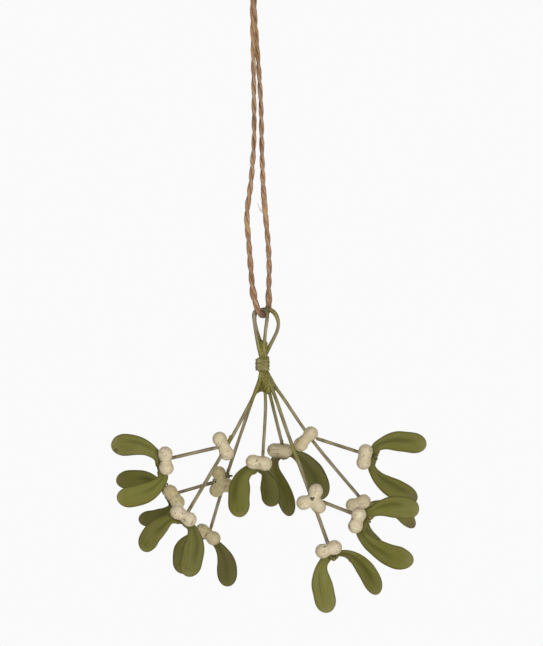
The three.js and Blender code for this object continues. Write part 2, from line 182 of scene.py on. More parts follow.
TIPS = [
    spray(
        (-42.5, -26, -254), -86, 7, (-3, -4),
        dict(seam=0.35, lines=[(-2.5, -0.2, 0.7, 0.5, 0, 0.9), (-1.2, 4.2, 1, 0.4, 30, 0.4)]),
        blade(10.9, 8, 1, 0.94, (-3.8, 1.2), (-8.4, 5.3), (-13.5, 7.2), (-20, 7.7), (-27, 7.3),
              neck=0.4, widest=0.78, streak=(-0.3, 0.16, 0.7, 0.35, 0.72),
              marks=[(0.93, 0.62, 0.9, 0.3, 0.2), (0.97, 0.3, 0.6, 0.1, 0.2), (0.7, 0.93, 2.4, 0, 0.35)]),
        blade(10.4, -6, 5, 0.95, (-1.5, -8), (-5, -12.7), (-10, -15.7), (-16.5, -17.5), (-24, -18),
              neck=0.48, streak=(-0.1, 0.2, 0.6, 0.05, 0.6), fresh=0.4),
    ),
    spray(
        (-40.3, 20, -274.8), -55, 6.6, (-3.4, 0.2),
        dict(core=3.2, seam=0.6, tone=0.96, yellow=0.4, stains=[(-1.4, 2.5, 1.6, 0.5)]),
        blade(9.9, 0, -3, 0.77, (-5.6, 4.5), (-11.2, 7.4), (-16.7, 8.3), (-22.4, 8.4), (-29.7, 7.7),
              streak=(-0.15, 0.25, 0.9, 0.2, 0.6), fresh=0.3, marks=[(0.88, 0, 1.8, 0, 0.4)]),
        blade(8.2, 10, 2, 0.58, (-1.2, -4.8), (-4.2, -8.6), (-9.2, -10.6), (-18, -11.6),
              streak=(-0.2, 0.35, 0.6, 0.1, 0.6), fresh=0.4),
    ),
    spray(
        (-33.5, -38, -280), -32, 6.8, (-0.5, -3),
        dict(seam=0.35, tone=0.98, lines=[(0.6, -1.9, 0.9, 0.4, -40, 0.9), (4.3, -3, 1.1, 0.35, 70, 0.7)]),
        blade(11, 28, 2, 0.9, (-6.2, -2.1), (-11, -5.1), (-15.1, -8.9), (-17.5, -13), (-19.3, -17.5),
              streak=(0.25, 0.25, 0.7, 0.1, 0.6),
              marks=[(0.87, -0.1, 0.7, 0.16, 0.1), (0.9, 0.2, 0.6, 0.1, 0.1)]),
        blade(10.8, -5, 3, 0.8, (3.6, -5.8), (5.2, -11), (5, -16), (3.8, -22.5), (1.9, -29.6),
              streak=(0.22, 0.26, 0.7, 0.15, 0.75),
              marks=[(0.88, -0.35, 0.55, 0.16, 0.1), (0.87, -0.1, 0.5, 0.12, 0.1),
                     (0.89, 0.15, 0.5, 0.1, 0.1)]),
    ),
    spray(
        (-23.2, 26, -294.3), -34, 7, (-0.5, -1.5),
        dict(seam=0.7, tone=0.87, yellow=0.45, lines=[(-0.8, 0.2, 1.2, 0.5, 60, 1)],
             stains=[(-2, 2.1, 1.5, 0.5)]),
        blade(10.3, 0, -2, 0.7, (-5.5, -0.7), (-9.8, -4.1), (-12.5, -8.7), (-13, -14.2), (-11.9, -20.6),
              streak=(0.1, 0.4, 0.5, 0.2, 0.9), marks=[(0.35, 0.2, 2.6, 0, 0.5)]),
        blade(10.4, 8, 1, 0.66, (3.8, -4.6), (7.2, -8.9), (9.3, -14.2), (9.8, -20.2), (10, -26.8),
              neck=0.33, widest=0.72, streak=(-0.1, 0.3, 0.5, 0.1, 0.8),
              marks=[(0.1, 0.2, 3.2, 0, 0.85), (0.5, 0.15, 3, 0, 0.3), (0.9, 0.3, 0.5, 0.1, 0.1)]),
    ),
    spray(
        (3, -16, -255.5), -8, 5.9, (-0.5, -3.2),
        dict(core=3.1, seam=0.4, swirl=-0.8, yellow=0.1, lines=[
            (-0.2, -1.6, 1.1, 1.2, 0, 0.3), (0.6, -3.8, 1.6, 0.45, -17, 1), (1.7, -3.1, 1.1, 0.3, -45, 0.6),
            (0.9, -0.5, 1.4, 0.25, -40, 0.4), (3.4, -1.2, 1.2, 0.25, 60, 0.3)]),
        blade(10.9, 6, 2, 0.86, (-4.6, -3.8), (-8, -7.2), (-9.4, -12), (-9.9, -18.5), (-9.4, -27),
              neck=0.5, streak=(-0.42, 0.34, 0.8, 0.15, 0.75), fresh=0.45,
              marks=[(0.89, -0.2, 0.6, 0.2, 0.1), (0.87, 0.3, 0.5, 0.1, 0.1)]),
        blade(9.5, 10, -1, 0.54, (2.7, -5), (4.7, -10), (5.8, -15.5), (6.5, -22),
              streak=(-0.5, 0.4, 0.5, 0.2, 0.8), fresh=0.3),
    ),
    spray(
        (13.5, 24, -251.4), -1, 5.8, (0.8, -2.2),
        # Of these lines the last two are painted shade, at the left end and along the lower edge.
        dict(core=3.5, seam=0, tone=0.88, yellow=0.2, lines=[
            (-2.4, 0.6, 2.3, 0.35, 0, 0.6), (-2.1, -1.55, 2.2, 0.35, 0, 0.6), (-1.1, -1.6, 0.9, 0.4, 0, 0.9),
            (-1, 2.3, 1.4, 0.35, 0, 0.4), (-5.3, -0.1, 1.2, 0.45, 80, 0.5), (-1, -2.9, 3.5, 0.6, 0, 0.5)]),
        blade(9.7, -30, 1, 0.74, (-2.2, -4.4), (-2.8, -9.4), (-0.7, -15.8), (2.5, -23), (5.5, -33.5),
              neck=0.5, streak=(0.2, 0.4, 0.4, 0.1, 0.7), marks=[(0.1, 0, 3.4, 0.1, 0.75)]),
        blade(11.3, 5, -2, 0.7, (6, -1.5), (10.9, -4.1), (14.7, -8.5), (18.1, -13.8), (20.1, -19),
              (21.6, -25.4), streak=(-0.1, 0.35, 0.7, 0.1, 0.8), marks=[(0.85, 0.9, 1.8, 0, 0.5)]),
    ),
    spray(
        (37, -36, -296.5), 17, 6.1, (1.1, -4), dict(seam=0.4, tone=0.96),
        blade(10.5, 4, 2, 1, (-1.5, -5.4), (-3.4, -9.4), (-3.5, -15), (-2.2, -22), (-0.3, -31),
              neck=0.42, streak=(-0.2, 0.14, 0.5, 0.3, 0.8)),
        blade(10.8, 32, 0, 0.88, (4.3, -2.4), (8.8, -2.5), (13.2, -4.8), (17.4, -9.2), (21, -15.1),
              (23.7, -22.4), neck=0.33, widest=0.64, streak=(0.1, 0.3, 0.8, 0.1, 0.8),
              marks=[(0.3, -0.2, 1.6, 0, 0.4)]),
    ),
    spray(
        (51, -32, -282.7), -107, 5.9, (5, 0),
        dict(seam=0.4, lines=[
            (-2.6, 1, 0.7, 0.5, -60, 0.8), (-3.6, -3.2, 1.1, 0.4, -70, 0.8), (1.1, 5.7, 2.4, 0.3, -5, 0.5),
            (1.1, 4.6, 1.9, 0.25, -5, 0.3), (-0.9, 2.4, 1.2, 0.3, 70, 0.4)]),
        blade(10.8, -5, 3, 0.9, (6.6, 3.1), (10.8, 5.3), (16.2, 6.4), (22.5, 6.2), (30.2, 4.7),
              neck=0.46, streak=(0.25, 0.2, 0.7, 0.25, 0.7), fresh=0.2),
        blade(11.4, 5, 4, 0.84, (2, -5.4), (5.3, -10.5), (10.2, -13.9), (15.6, -16.9), (21.3, -18.7),
              (27.5, -19.9), neck=0.43, widest=0.8, streak=(0, 0.25, 0.7, 0.1, 0.7), fresh=0.25),
    ),
    spray(
        (53.3, 20, -278), 20, 5.9, (4.5, -3), dict(seam=0.5, tone=1.06),
        blade(7.5, 15, -4, 0.92, (7.5, -0.5), (13.5, -1), (20, -4), (24.6, -8), (28.8, -12.9),
              streak=(0, 0.3, 0.5, 0.1, 0.7), marks=[(0.97, 0, 3.6, 0, 0.85)]),
        blade(8.2, -10, -2, 0.7, (3.6, -9.7), (5, -16.1), (8.6, -21.3), (13.4, -25.7), (20, -28.5),
              streak=(0, 0.3, 0.5, 0.1, 0.7)),
    ),
    spray(
        (56, 4, -253.6), -100, 5.9, (5.2, 0.5), dict(core=3, seam=0.2, yellow=0.1),
        blade(10.5, 6, 1, 0.88, (5.8, 4.4), (9.7, 6.7), (15.2, 7.7), (22.2, 7.2), (31.1, 5.7),
              neck=0.46, streak=(0.15, 0.25, 0.8, 0.1, 0.75), fresh=0.3),
        blade(10.3, -6, -2, 0.87, (3.6, -5), (6.4, -10), (11.1, -14), (17.4, -17.5), (26.5, -22.2),
              widest=0.68, streak=(0.3, 0.3, 0.8, 0.3, 0.85), fresh=0.5,
              marks=[(0.96, 0.3, 3.2, 0.1, 0.7)]),
    ),
]

# Forks: where the side stem leaves the stem, and the beads strung there (x, z).
FORKS = [
    dict(at=(-12.7, -19, -247), beads=[(-16.2, -243.6), (-12.8, -250.6)],
         berries=dict(core=2.9, seam=0.2, yellow=0.15, stains=[(-0.4, -4.5, 0.8, 0.5)],
                      lines=[(-2.2, -0.6, 0.9, 0.5, 60, 0.7), (-0.6, 2, 2, 0.3, 80, 0.4)])),
    dict(at=(-14.8, 17.5, -268), beads=[(-17.4, -262.5), (-18.6, -271.1), (-13.4, -268.6)],
         berries=dict(core=3.2, seam=0.15, yellow=0.55, lines=[(2.5, -1.7, 1.2, 0.8, 45, 0.5)],
                      stains=[(-2.5, -2.4, 0.9, 0.6), (-2.5, 5.6, 1.2, 0.5)])),
    dict(at=(29.2, -26, -273), beads=[(30.9, -268.8), (25, -274.5), (32.4, -276.3)],
         berries=dict(core=3.2, seam=0.15, tone=0.96, stains=[(-5.7, -1.7, 0.9, 0.7)],
                      lines=[(-2.6, 2.6, 1.2, 0.3, 40, 0.6)])),
    dict(at=(29.6, 10, -245.3), beads=[(29.1, -242.1), (24, -247.6)],
         berries=dict(core=2.6, seam=0.25, yellow=0.2, stains=[(-3.4, -1.8, 1.8, 0.4)],
                      # The second line is painted shade on the left rim of the lower bead.
                      lines=[(-2.5, 1.6, 0.8, 0.6, 50, 1), (-4.2, -1.2, 1.6, 0.5, 70, 0.6),
                             (-3.1, -5.2, 1, 0.35, -20, 0.6)])),
]


def in_tie(column, row):
    """A stem's two points in the tie, from the top down."""
    x, y = TIE["x"] + column * COLUMN, row * ROW
    return [(x, y, TIE["top"]), (x, y, TIE["bottom"])]


# Stems 1 to 6, each from the tie down into its tip berries.
STEMS = [
    [*in_tie(-1, -1), (1.6, -5.5, -220), (-5.7, -13, -234.5), FORKS[0]["at"], (-32.1, -38, -279.5)],
    [*in_tie(-1, 1), (0.5, 6, -222.5), (-5.6, 12, -240.5), FORKS[1]["at"], (-22.4, 26, -293.4)],
    [*in_tie(-1, 0), (6.1, -3, -222), (4.9, -16, -254.2)],
    [*in_tie(1, 1), (8.4, 6, -222), (15.4, 24, -251)],
    [*in_tie(1, -1), (10.2, -6, -221), (17.4, -13.5, -241.4), FORKS[2]["at"], (37.6, -36, -296.2)],
    [*in_tie(1, 0), (8.2, 0.5, -215.2), (12.4, 1.4, -220.2), FORKS[3]["at"], (55.7, 20, -277)],
]
# The two single stems stand out above the tie, between the legs of the loops.
MIDDLE_STEM_TOP = [(4.6, 0, -195), (4.2, 0, -199.5)]
RIGHT_STEM_TOP = [(6.4, 0, -195.5), (6.2, 0, -199.5)]

# Hanging loops, from the left column of the tie over the top to the right column.
FRONT_LOOP = [
    (3, -2, -199), (1.4, -1.8, -191), (0.6, -1.4, -185), (0.4, -1.3, -182.2), (1.3, -1.3, -180.4),
    (4.1, -1.3, -179.9), (6.2, -1.3, -180), (7.1, -1.3, -182), (6.3, -1.7, -190), (5.6, -2, -199),
]
BACK_LOOP = [
    (4.6, 2.05, -199), (3.4, 1.9, -195), (1.7, 1.6, -189.5), (0.9, 1.4, -184.8), (1.5, 1.3, -181.6),
    (4.2, 1.3, -179.9), (8.2, 1.3, -179.8), (10.7, 1.4, -181.4), (12.2, 1.5, -184.2), (12.7, 1.6, -187),
    (12.2, 1.7, -190), (10.8, 1.9, -193.3), (7.9, 2.05, -199),
]
# Side stems: straight, from a bead at the fork into the berries at their end.
SIDE_STEMS = [
    [(-16.6, -19.5, -247.6), (-42.2, -26, -253.2)], [(-18.4, 17.8, -266.8), (-39.5, 20, -273)],
    [(31.5, -26.5, -273), (50.9, -32, -280.2)], [(31.5, 9.6, -244.5), (55.1, 4, -251.9)],
]

# Webs of dried glue: the two stems each one joins, how far down it reaches on them, and how far the
# middle of its lower edge is drawn up.
WEBS = {
    "glue_web_left": ((STEMS[0], STEMS[2]), (-222.5, -220.8), 1.4),
    "glue_web_middle": ((STEMS[2], STEMS[3]), (-222.8, -222.2), 0.6),
    "glue_web_right": ((STEMS[4], STEMS[5]), (-220.8, -220.4), 0.6),
}
# Ragged drops of glue where leaves and wires are stuck on: middle and radius.
GLUE_DROPS = [
    (38.2, -33.8, -300.6, 1.3), (39.6, -34.2, -301.2, 1.15), (41, -33.8, -300.4, 0.9),
    (47.4, -33.6, -302.3, 0.55), (15.2, 25, -255.2, 1.1), (16.8, 25, -255.1, 0.8), (18, 25, -254.7, 0.55),
    (61.4, 5.6, -253.6, 1.1), (62.3, 5.4, -252.9, 0.6), (62.2, 5.4, -254.8, 0.5), (58, -29.4, -275, 0.9),
    (56.6, -29.6, -286.6, 0.7), (-45.4, 21.5, -269.4, 1.1), (-44.6, 21.2, -271, 1.2),
    (14.4, 22.6, -246.6, 0.95), (30.2, 9.6, -246.3, 0.7), (-46.9, -23, -256.4, 0.6),
    (-43.8, 20.5, -268.2, 0.6), (8.3, -11.5, -260.4, 1.1), (57.4, -29.5, -281.4, 1.15),
    (58.7, -29.5, -280.5, 0.7), (57, -29.5, -283.5, 0.8), (-20.2, 16.5, -265.9, 0.5),
    (-13, 14.8, -260.9, 0.55), (-12.6, 14.8, -262.6, 0.65), (-12.3, 14.9, -264.4, 0.65),
]
# Strings of glue, as radius, raggedness and route: a snapped-off twig at the second fork, the
# yellower glue along the first fork's bead, and glue that has run down the right stem below the tie.
GLUE_STUB = (0.5, 0.35, [(-14.2, 16.4, -262.4), (-12.6, 16.2, -263.4), (-11.2, 16.2, -263.9),
                         (-10.4, 16.2, -263.7)])
GLUE_BEAD = (0.85, 0.35, [(-10.6, -18.6, -241.8), (-11.3, -18.8, -243.8), (-12.2, -19, -246)])
GLUE_RUN = (0.85, 0.08, [(6.7, 0, -210.3), (7.9, 0.2, -212.5), (9.3, 0.4, -215), (10.7, 0.8, -217.5),
                         (12.3, 1.3, -219.9)])
# Glue run in among the wires by the tie: (height, left, right, front, back) of each level.
TIE_GLUE = [
    [(-195.6, 3.6, 4.9, -1.9, 0.2), (-197, 3.2, 5.6, -2.2, 0.5), (-200, 2.9, 6.6, -2.6, 1),
     (-204.5, 2.9, 7.2, -2.9, 1.5)],
    [(-211, 3, 7.3, -3.3, 2), (-213.5, 3.2, 8.3, -3.9, 2), (-216, 3.9, 9.4, -4.9, 1),
     (-218.6, 4.7, 10.3, -5.4, 1), (-221.2, 5.6, 10, -5, 1)],
]
# Small dark dimples in the berries: where each one is seen from the front (x, z) and its radius.
DIMPLES = [
    ((1.95, -254.3), 0.45), ((29.1, -272.5), 0.85), ((28.5, -272), 0.55), ((29.8, -272), 0.5),
    ((35.1, -295.1), 0.45), ((-37.2, -278.6), 0.32), ((-33.9, -278.8), 0.36), ((23.9, -243.3), 0.45),
    ((-19, -266.8), 0.6), ((49.3, -281.6), 0.45),
]

# The twine, from the knot down its left strand, under both wire loops and up its right strand.
TWINE = [
    (-0.3, -1.6, KNOT["bottom"] - CLEARANCE), (-0.2, -1.6, -35), (0.2, -1.6, -55), (0.5, -1.8, -75),
    (0.5, -2.2, -96), (-1.1, -2.6, -117), (-3, -3, -133), (-2.1, -3.4, -146), (-1, -3.9, -160),
    (0.2, -4.5, -172), (1.8, -4.8, -178), (3.1, -3.3, -181.2), (4.7, 0, -182.5),
    (6.6, 3.3, -181.4), (7.8, 4.8, -178), (7.8, 4.6, -172), (8.1, 4.2, -159), (7.5, 3.7, -146),
    (6.2, 3.2, -132), (5, 2.8, -116), (4.5, 2.4, -102), (3.9, 2, -76), (2.9, 1.7, -60),
    (1.9, 1.6, -46), (1, 1.6, -34), (0.5, 1.6, KNOT["bottom"] - CLEARANCE),
]
# Worn places on the twine: middle, reach, how far the fibres swell and how golden they are.
FRAYS = [
    ((5.4, 3, -124.5), 2.4, 0.3, 0.4), ((6.1, 3.1, -131), 3.2, 0.12, 1),
    ((-2.9, -3.1, -139), 2.6, 0.16, 0.9), ((-1.2, -3.8, -157), 5, 0.14, 0), ((0.4, -4.6, -173), 5, 0.4, 0),
    ((7.8, 4.7, -176), 4.5, 0.38, 0), ((4.9, 0.3, -182.2), 3, 0.42, 0), ((4.8, 2.6, -110), 5, 0, 0.45),
    ((1, 0.4, -44), 16, 0, 0.6),
]
# Loose fibres that stand off the twine: radius and route.
LOOSE_FIBRES = [
    (0.2, [(5, 1.8, -131.6), (3.8, 1.2, -130.2), (2.9, 1.2, -128.2), (2.2, 1.4, -126.3)]),
    (0.16, [(5.2, 1.8, -131), (4, 1.3, -129.8), (3.2, 1.1, -129.2)]),
    (0.14, [(6.6, 2.2, -131), (7.4, 2.1, -132.2), (7.9, 2.3, -133.4)]),
    (0.12, [(4.6, 2, -122.6), (4, 1.7, -123.9), (3.8, 1.7, -125.4)]),
]
# The eye above the knot: two strands that open into a half circle over the origin.
EYE = [(-1.7, 0, KNOT["top"] + CLEARANCE), (-1.8, 0, -11.2), (-3.6, 0, -8.2)]
for arc_angle in (math.pi * (1 - step / 6) for step in range(7)):
    arc_height = TWINE_DIAMETER / 2 - EYE_RADIUS + EYE_RADIUS * math.sin(arc_angle)
    EYE.append((EYE_RADIUS * math.cos(arc_angle), 0, arc_height))
EYE += [(3.6, 0, -8.2), (1.8, 0, -11.2), (1.7, 0, KNOT["top"] + CLEARANCE)]

# ---- curves

ROUTE_STEPS = 24


def smoothstep(low, high, value):
    share = np.clip((value - low) / (high - low), 0.0, 1.0)
    return share * share * (3.0 - 2.0 * share)


def near(value, middle, width):
    return np.exp(-(((value - middle) / width) ** 2))


def near_place(path, place, reach):
    """1 where the path passes the place, falling off over the reach."""
    return near(norm(path - np.asarray(place), axis=1), 0, reach)


def unit(vectors):
    return vectors / norm(vectors, axis=-1, keepdims=True)


def fine_route(points):
    """Centripetal Catmull-Rom curve through the points, as a fine polyline."""
    known = np.asarray(points, float)
    known = np.vstack([2 * known[0] - known[1], known, 2 * known[-1] - known[-2]])
    t = np.linspace(0.0, 1.0, ROUTE_STEPS, endpoint=False)[:, None]
    spans = []
    for a, b, c, d in zip(known, known[1:], known[2:], known[3:]):
        before, span, after = (math.sqrt(norm(way)) for way in (b - a, c - b, d - c))
        leaving = ((b - a) / before - (c - a) / (before + span) + (c - b) / span) * span
        arriving = ((c - b) / span - (d - b) / (span + after) + (d - c) / after) * span
        squared = 3 * (c - b) - 2 * leaving - arriving
        cubed = 2 * (b - c) + leaving + arriving
        spans.append(b + leaving * t + squared * t**2 + cubed * t**3)
    return np.vstack([*spans, known[-2:-1]])


def reached_along(line):
    """How far along a polyline each of its points is."""
    return np.concatenate([[0.0], np.cumsum(norm(np.diff(line, axis=0), axis=1))])


def length_of(line):
    return float(reached_along(line)[-1])


def at_shares(line, shares):
    """Points of a polyline at shares of its length."""
    reached = reached_along(line)
    return np.stack([np.interp(shares * reached[-1], reached, line[:, axis]) for axis in range(3)], 1)


def evenly(points, step):
    line = fine_route(points)
    return at_shares(line, np.linspace(0.0, 1.0, max(8, round(length_of(line) / step)) + 1))


def trimmed_end(points, distance):
    """The same route with its last point moved back towards the one before it."""
    last, before = np.asarray(points[-1], float), np.asarray(points[-2], float)
    return [*points[:-1], tuple(last + (before - last) * distance / norm(before - last))]


def carried_frames(path, side=(1.0, 0.0, 0.0)):
    """Tangents, sides and fronts along a path, carried on without twist."""
    tangents = unit(np.gradient(path, axis=0))
    sides = np.empty_like(path)
    side = np.asarray(side, float)
    for index, tangent in enumerate(tangents):
        side = unit(side - tangent * side.dot(tangent))
        sides[index] = side
    return tangents, sides, np.cross(tangents, sides)


def lumps(points, size, seed=0):
    """Smooth noise at each point, about -1 to 1, whose bumps are about `size` mm apart."""
    shift = Vector((7.3 * seed, 3.1 * seed, 5.7 * seed))
    return np.array([noise.noise(Vector(point / size) + shift) for point in points])


# ---- meshes


def linked(name, data):
    """A new object in the scene."""
    thing = bpy.data.objects.new(name, data)
    bpy.context.scene.collection.objects.link(thing)
    return thing


class Piece:
    """Skins and their per-vertex values, gathered part by part into one mesh."""

    def __init__(self):
        self.points, self.faces, self.values, self.count = [], [], {}, 0

    def add(self, points, faces, rings=None, **values):
        """Take in a skin. With `rings`, its values are for each ring or each point of the rings."""
        self.faces += [[corner + self.count for corner in face] for face in faces]
        self.points.append(points)
        for name, value in values.items():
            value = value if rings is None else over_rings(value, rings)
            self.values.setdefault(name, []).append(np.broadcast_to(value, len(points)))
        self.count += len(points)

    def place(self, name, material, slot, *nodes):
        mesh = bpy.data.meshes.new(name)
        mesh.from_pydata((np.vstack(self.points) * MM).tolist(), [], self.faces)
        for key, parts in self.values.items():
            layer = mesh.attributes.new(key, "FLOAT", "POINT")
            layer.data.foreach_set("value", np.concatenate(parts).astype(np.float32))
        mesh.shade_smooth()
        mesh.materials.append(material)
        piece = linked(name, mesh)
        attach(piece, "root")
        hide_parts(*nodes)
        return piece


def skin(rings):
    """A closed skin over rings with the same count of points, each end closed by its middle."""
    stations, sides = rings.shape[:2]
    points = np.vstack([rings.reshape(-1, 3), rings[0].mean(0), rings[-1].mean(0)])
    corner = np.arange(sides)
    following = np.roll(corner, -1)
    faces = []
    for low in range(0, (stations - 1) * sides, sides):
        high = low + sides
        faces += np.stack([low + corner, low + following, high + following, high + corner], 1).tolist()
    first, last, end = stations * sides, stations * sides + 1, (stations - 1) * sides
    faces += [[first, int(b), int(a)] for a, b in zip(corner, following)]
    faces += [[last, int(end + a), int(end + b)] for a, b in zip(corner, following)]
    return points, faces


def over_rings(values, rings):
    """Values for each point of a skin over the rings. Each end's middle takes its ring's mean."""
    values = np.asarray(values, float)
    values = np.broadcast_to(values[:, None] if values.ndim == 1 else values, rings.shape[:2])
    return np.concatenate([values.ravel(), [values[0].mean(), values[-1].mean()]])


def round_rings(path, radii, sides, start_side=(1.0, 0.0, 0.0)):
    """Rings of a round tube along a path. `radii` is one for each station or for each point."""
    _, across, front = carried_frames(path, start_side)
    angles = 2 * math.pi * np.arange(sides) / sides
    out = across[:, None] * np.cos(angles)[:, None] + front[:, None] * np.sin(angles)[:, None]
    radii = np.asarray(radii, float)
    return path[:, None] + out * (radii[:, None] if radii.ndim == 1 else radii)[..., None], angles


def rounded_ends(path, radius):
    """Share of the radius at each station of a tube whose two ends are rounded."""
    reached = reached_along(path)
    nearest = np.minimum(reached, reached[-1] - reached)
    return np.sqrt(1 - (1 - np.clip(nearest / radius, 0.02, 1.0)) ** 2)


def ball(detail):
    """Directions and triangles of a finely divided ball."""
    sphere = bmesh.new()
    bmesh.ops.create_icosphere(sphere, subdivisions=detail, radius=1.0)
    directions = np.array([vertex.co[:] for vertex in sphere.verts])
    faces = [[vertex.index for vertex in face.verts] for face in sphere.faces]
    sphere.free()
    return directions, faces


# ---- node materials


def paint(red, green, blue):
    """A colour given as it looks on a screen, 0 to 255, in the renderer's own scale."""
    shares = [channel / 255 for channel in (red, green, blue)]
    return tuple(c / 12.92 if c <= 0.04045 else ((c + 0.055) / 1.055) ** 2.4 for c in shares) + (1.0,)


class Shader:
    """The nodes of one material or world."""

    def __init__(self, name, library=bpy.data.materials):
        self.owner = library.new(name)
        self.owner.use_nodes = True
        self.tree = self.owner.node_tree
        self.tree.nodes.clear()

    def node(self, kind, inputs, output=0, **settings):
        """An output of a new node. An input is a value, an output, or the name of a mesh's values."""
        node = self.tree.nodes.new("ShaderNode" + kind)
        for key, value in settings.items():
            setattr(node, key, value)
        for key, value in inputs.items():
            if isinstance(value, str):
                value = self.node("Attribute", {}, "Fac", attribute_name=value)
            if isinstance(value, bpy.types.NodeSocket):
                self.tree.links.new(value, node.inputs[key])
            else:
                node.inputs[key].default_value = value
        return node if output is None else node.outputs[output]

    def math(self, operation, a, b=0.0):
        return self.node("Math", {0: a, 1: b}, operation=operation)

    def times(self, a, b):
        return self.math("MULTIPLY", a, b)

    def plus(self, a, b):
        return self.math("ADD", a, b)

    def ease(self, value, low, high, start=0.0, end=1.0):
        """From `start` at `low` to `end` at `high`, smoothly."""
        ends = {"From Min": low, "From Max": high, "To Min": start, "To Max": end}
        return self.node("MapRange", {"Value": value} | ends, interpolation_type="SMOOTHSTEP")

    def mix(self, share, a, b, blend="MIX"):
        """Each colour is an output, or red, green and blue as for paint()."""
        a, b = (paint(*colour) if isinstance(colour, tuple) else colour for colour in (a, b))
        return self.node("Mix", {0: share, 6: a, 7: b}, 2, data_type="RGBA", blend_type=blend)

    def layered(self, colour, *layers):
        """The colour with others laid over it one by one, each given as its share and the colour."""
        for share, over in layers:
            colour = self.mix(share, colour, over)
        return colour

    def toned(self, colour):
        return self.mix(1.0, colour, self.spot("tone", "tone", "tone"), "MULTIPLY")

    def spot(self, x, y, z):
        return self.node("CombineXYZ", {"X": x, "Y": y, "Z": z})

    def place(self):
        return self.node("TexCoord", {}, "Object")

    def noise(self, where, size, detail=3, roughness=0.55):
        """Noise about 0.5, with patches about `size` across in the units of `where`."""
        inputs = {"Vector": where, "Scale": 1 / size, "Detail": detail, "Roughness": roughness}
        return self.node("TexNoise", inputs)

    def line(self, value, level, width):
        """1 where the value passes the level, falling to 0 within the width."""
        away = self.math("ABSOLUTE", self.math("SUBTRACT", value, level))
        return self.ease(away, 0, width, 1, 0)

    def surface(self, colour, roughness, height=None, relief=0.1, specular=0.5, sheen=0.0):
        inputs = {"Base Color": colour, "Roughness": roughness}
        inputs |= {"Specular IOR Level": specular, "Sheen Weight": sheen}
        if height is not None:
            bump = {"Height": height, "Strength": 1, "Distance": relief * MM}
            inputs["Normal"] = self.node("Bump", bump)
        self.node("OutputMaterial", {"Surface": self.node("BsdfPrincipled", inputs)}, None)
        return self.owner


def leaf_plastic():
    """Matte moulded leaf: faint fibres, one dark streak of painted shade in its groove, a paler tip."""
    shader = Shader("leaf_plastic")
    where = shader.spot("along", "across", "seed")
    fibres = shader.noise(shader.spot(shader.times("along", 0.1), "across", "seed"), 0.9)
    patches = shader.noise(where, 8, 2)
    grain = shader.noise(where, 0.4, 3, 0.7)
    colour = shader.layered(
        shader.mix(shader.ease(fibres, 0.3, 0.7), (102, 99, 36), (115, 112, 51)),
        (shader.ease(patches, 0.35, 0.7, 0, 0.5), (112, 112, 64)),
        ("fresh", (106, 105, 26)),
        # Painted shade in the groove along the blade.
        ("streak", (76, 75, 14)),
        (shader.ease("share", 0.84, 1, 0, 0.4), (136, 128, 82)),
        (shader.ease("share", 0.3, 0.02, 0, 0.45), (84, 80, 34)),
        # Painted shade along the rims, where the rounded edges turn away from the light.
        (shader.ease(shader.math("ABSOLUTE", "edge"), 0.78, 1, 0, 0.65), (92, 82, 46)),
    )
    # The tone is partly each leaf's own and partly painted shade.
    colour = shader.layered(shader.toned(colour), ("stain", (100, 84, 62)), ("mark", (66, 60, 26)))
    height = shader.plus(shader.times(fibres, 0.6), shader.times(grain, 0.4))
    return shader.surface(colour, shader.ease(grain, 0.3, 0.7, 0.5, 0.62), height, 0.1, 0.2)


def berry_resin():
    """Cream bead with brown hairlines and strokes of painted shade, worn paler where it stands out."""
    shader = Shader("berry_resin")
    depth = shader.plus("front", "seed")
    where = shader.spot("axis", "side", depth)
    patches = shader.noise(where, 3.2, 2)
    hair = shader.noise(shader.spot(shader.times("axis", 0.3), "side", depth), 2.3, 3, 0.6)
    grain = shader.noise(where, 0.35, 3, 0.65)
    cracks = shader.times(shader.line(hair, 0.5, 0.022), shader.ease(patches, 0.42, 0.62))
    seam = shader.times(shader.line("seam", 0, 0.32), "seam_depth")
    colour = shader.layered(
        shader.mix(shader.ease(patches, 0.3, 0.7), (192, 178, 144), (212, 199, 170)),
        (shader.ease(grain, 0.35, 0.75, 0, 0.3), (226, 214, 188)),
        (shader.times("yellow", shader.ease(patches, 0.35, 0.65, 0.5, 1.2)), (178, 164, 98)),
        (shader.ease(shader.noise(where, 1.8, 2), 0.5, 0.72, 0, 0.45), (174, 172, 142)),
        ("stain", (182, 160, 106)),
        (shader.times(cracks, 0.6), (128, 104, 76)),
        # Hairlines, and strokes of painted shade at some rims and lower edges.
        ("hairline", (92, 76, 48)),
        # Painted shade in the crease between neighbouring beads.
        (shader.times(seam, 0.75), (150, 112, 88)),
    )
    height = shader.math("SUBTRACT", shader.times(grain, 0.35), shader.plus(cracks, seam))
    return shader.surface(shader.toned(colour), 0.5, height, 0.12, 0.3)


def covered_wire():
    """Plastic-covered wire: olive and waxy near the glued tie, greyer and browner further out."""
    shader = Shader("covered_wire")
    where = shader.spot(shader.times("along", 0.12), "round_x", "round_y")
    streaks = shader.noise(where, 0.9)
    bands = shader.ease(streaks, 0.3, 0.7)
    patches = shader.ease(shader.noise(where, 2, 2), 0.4, 0.7, 0, 0.3)
    green = shader.ease(shader.plus(shader.times("glued", 0.85), patches), 0, 1)
    colour = shader.layered(
        shader.mix(bands, (106, 95, 70), (160, 150, 118)),
        (shader.times("weathered", 0.45), (114, 101, 82)),
        (green, shader.mix(bands, (100, 94, 36), (140, 134, 70))),
        # Dark glue near the wires' ends, a darker wrap, and painted shade with glue where the twine turns
        # under the loops.
        (shader.times("dark", 0.8), (60, 52, 26)),
    )
    return shader.surface(colour, shader.ease("glued", 0, 1, 0.6, 0.42), streaks, 0.04, 0.35)


def dried_glue(name, dark, light, roughness):
    shader = Shader(name)
    streaks = shader.noise(shader.place(), 1.6 * MM, 3, 0.6)
    colour = shader.mix(shader.ease(streaks, 0.35, 0.65), dark, light)
    return shader.surface(colour, roughness, streaks, 0.12, 0.22)


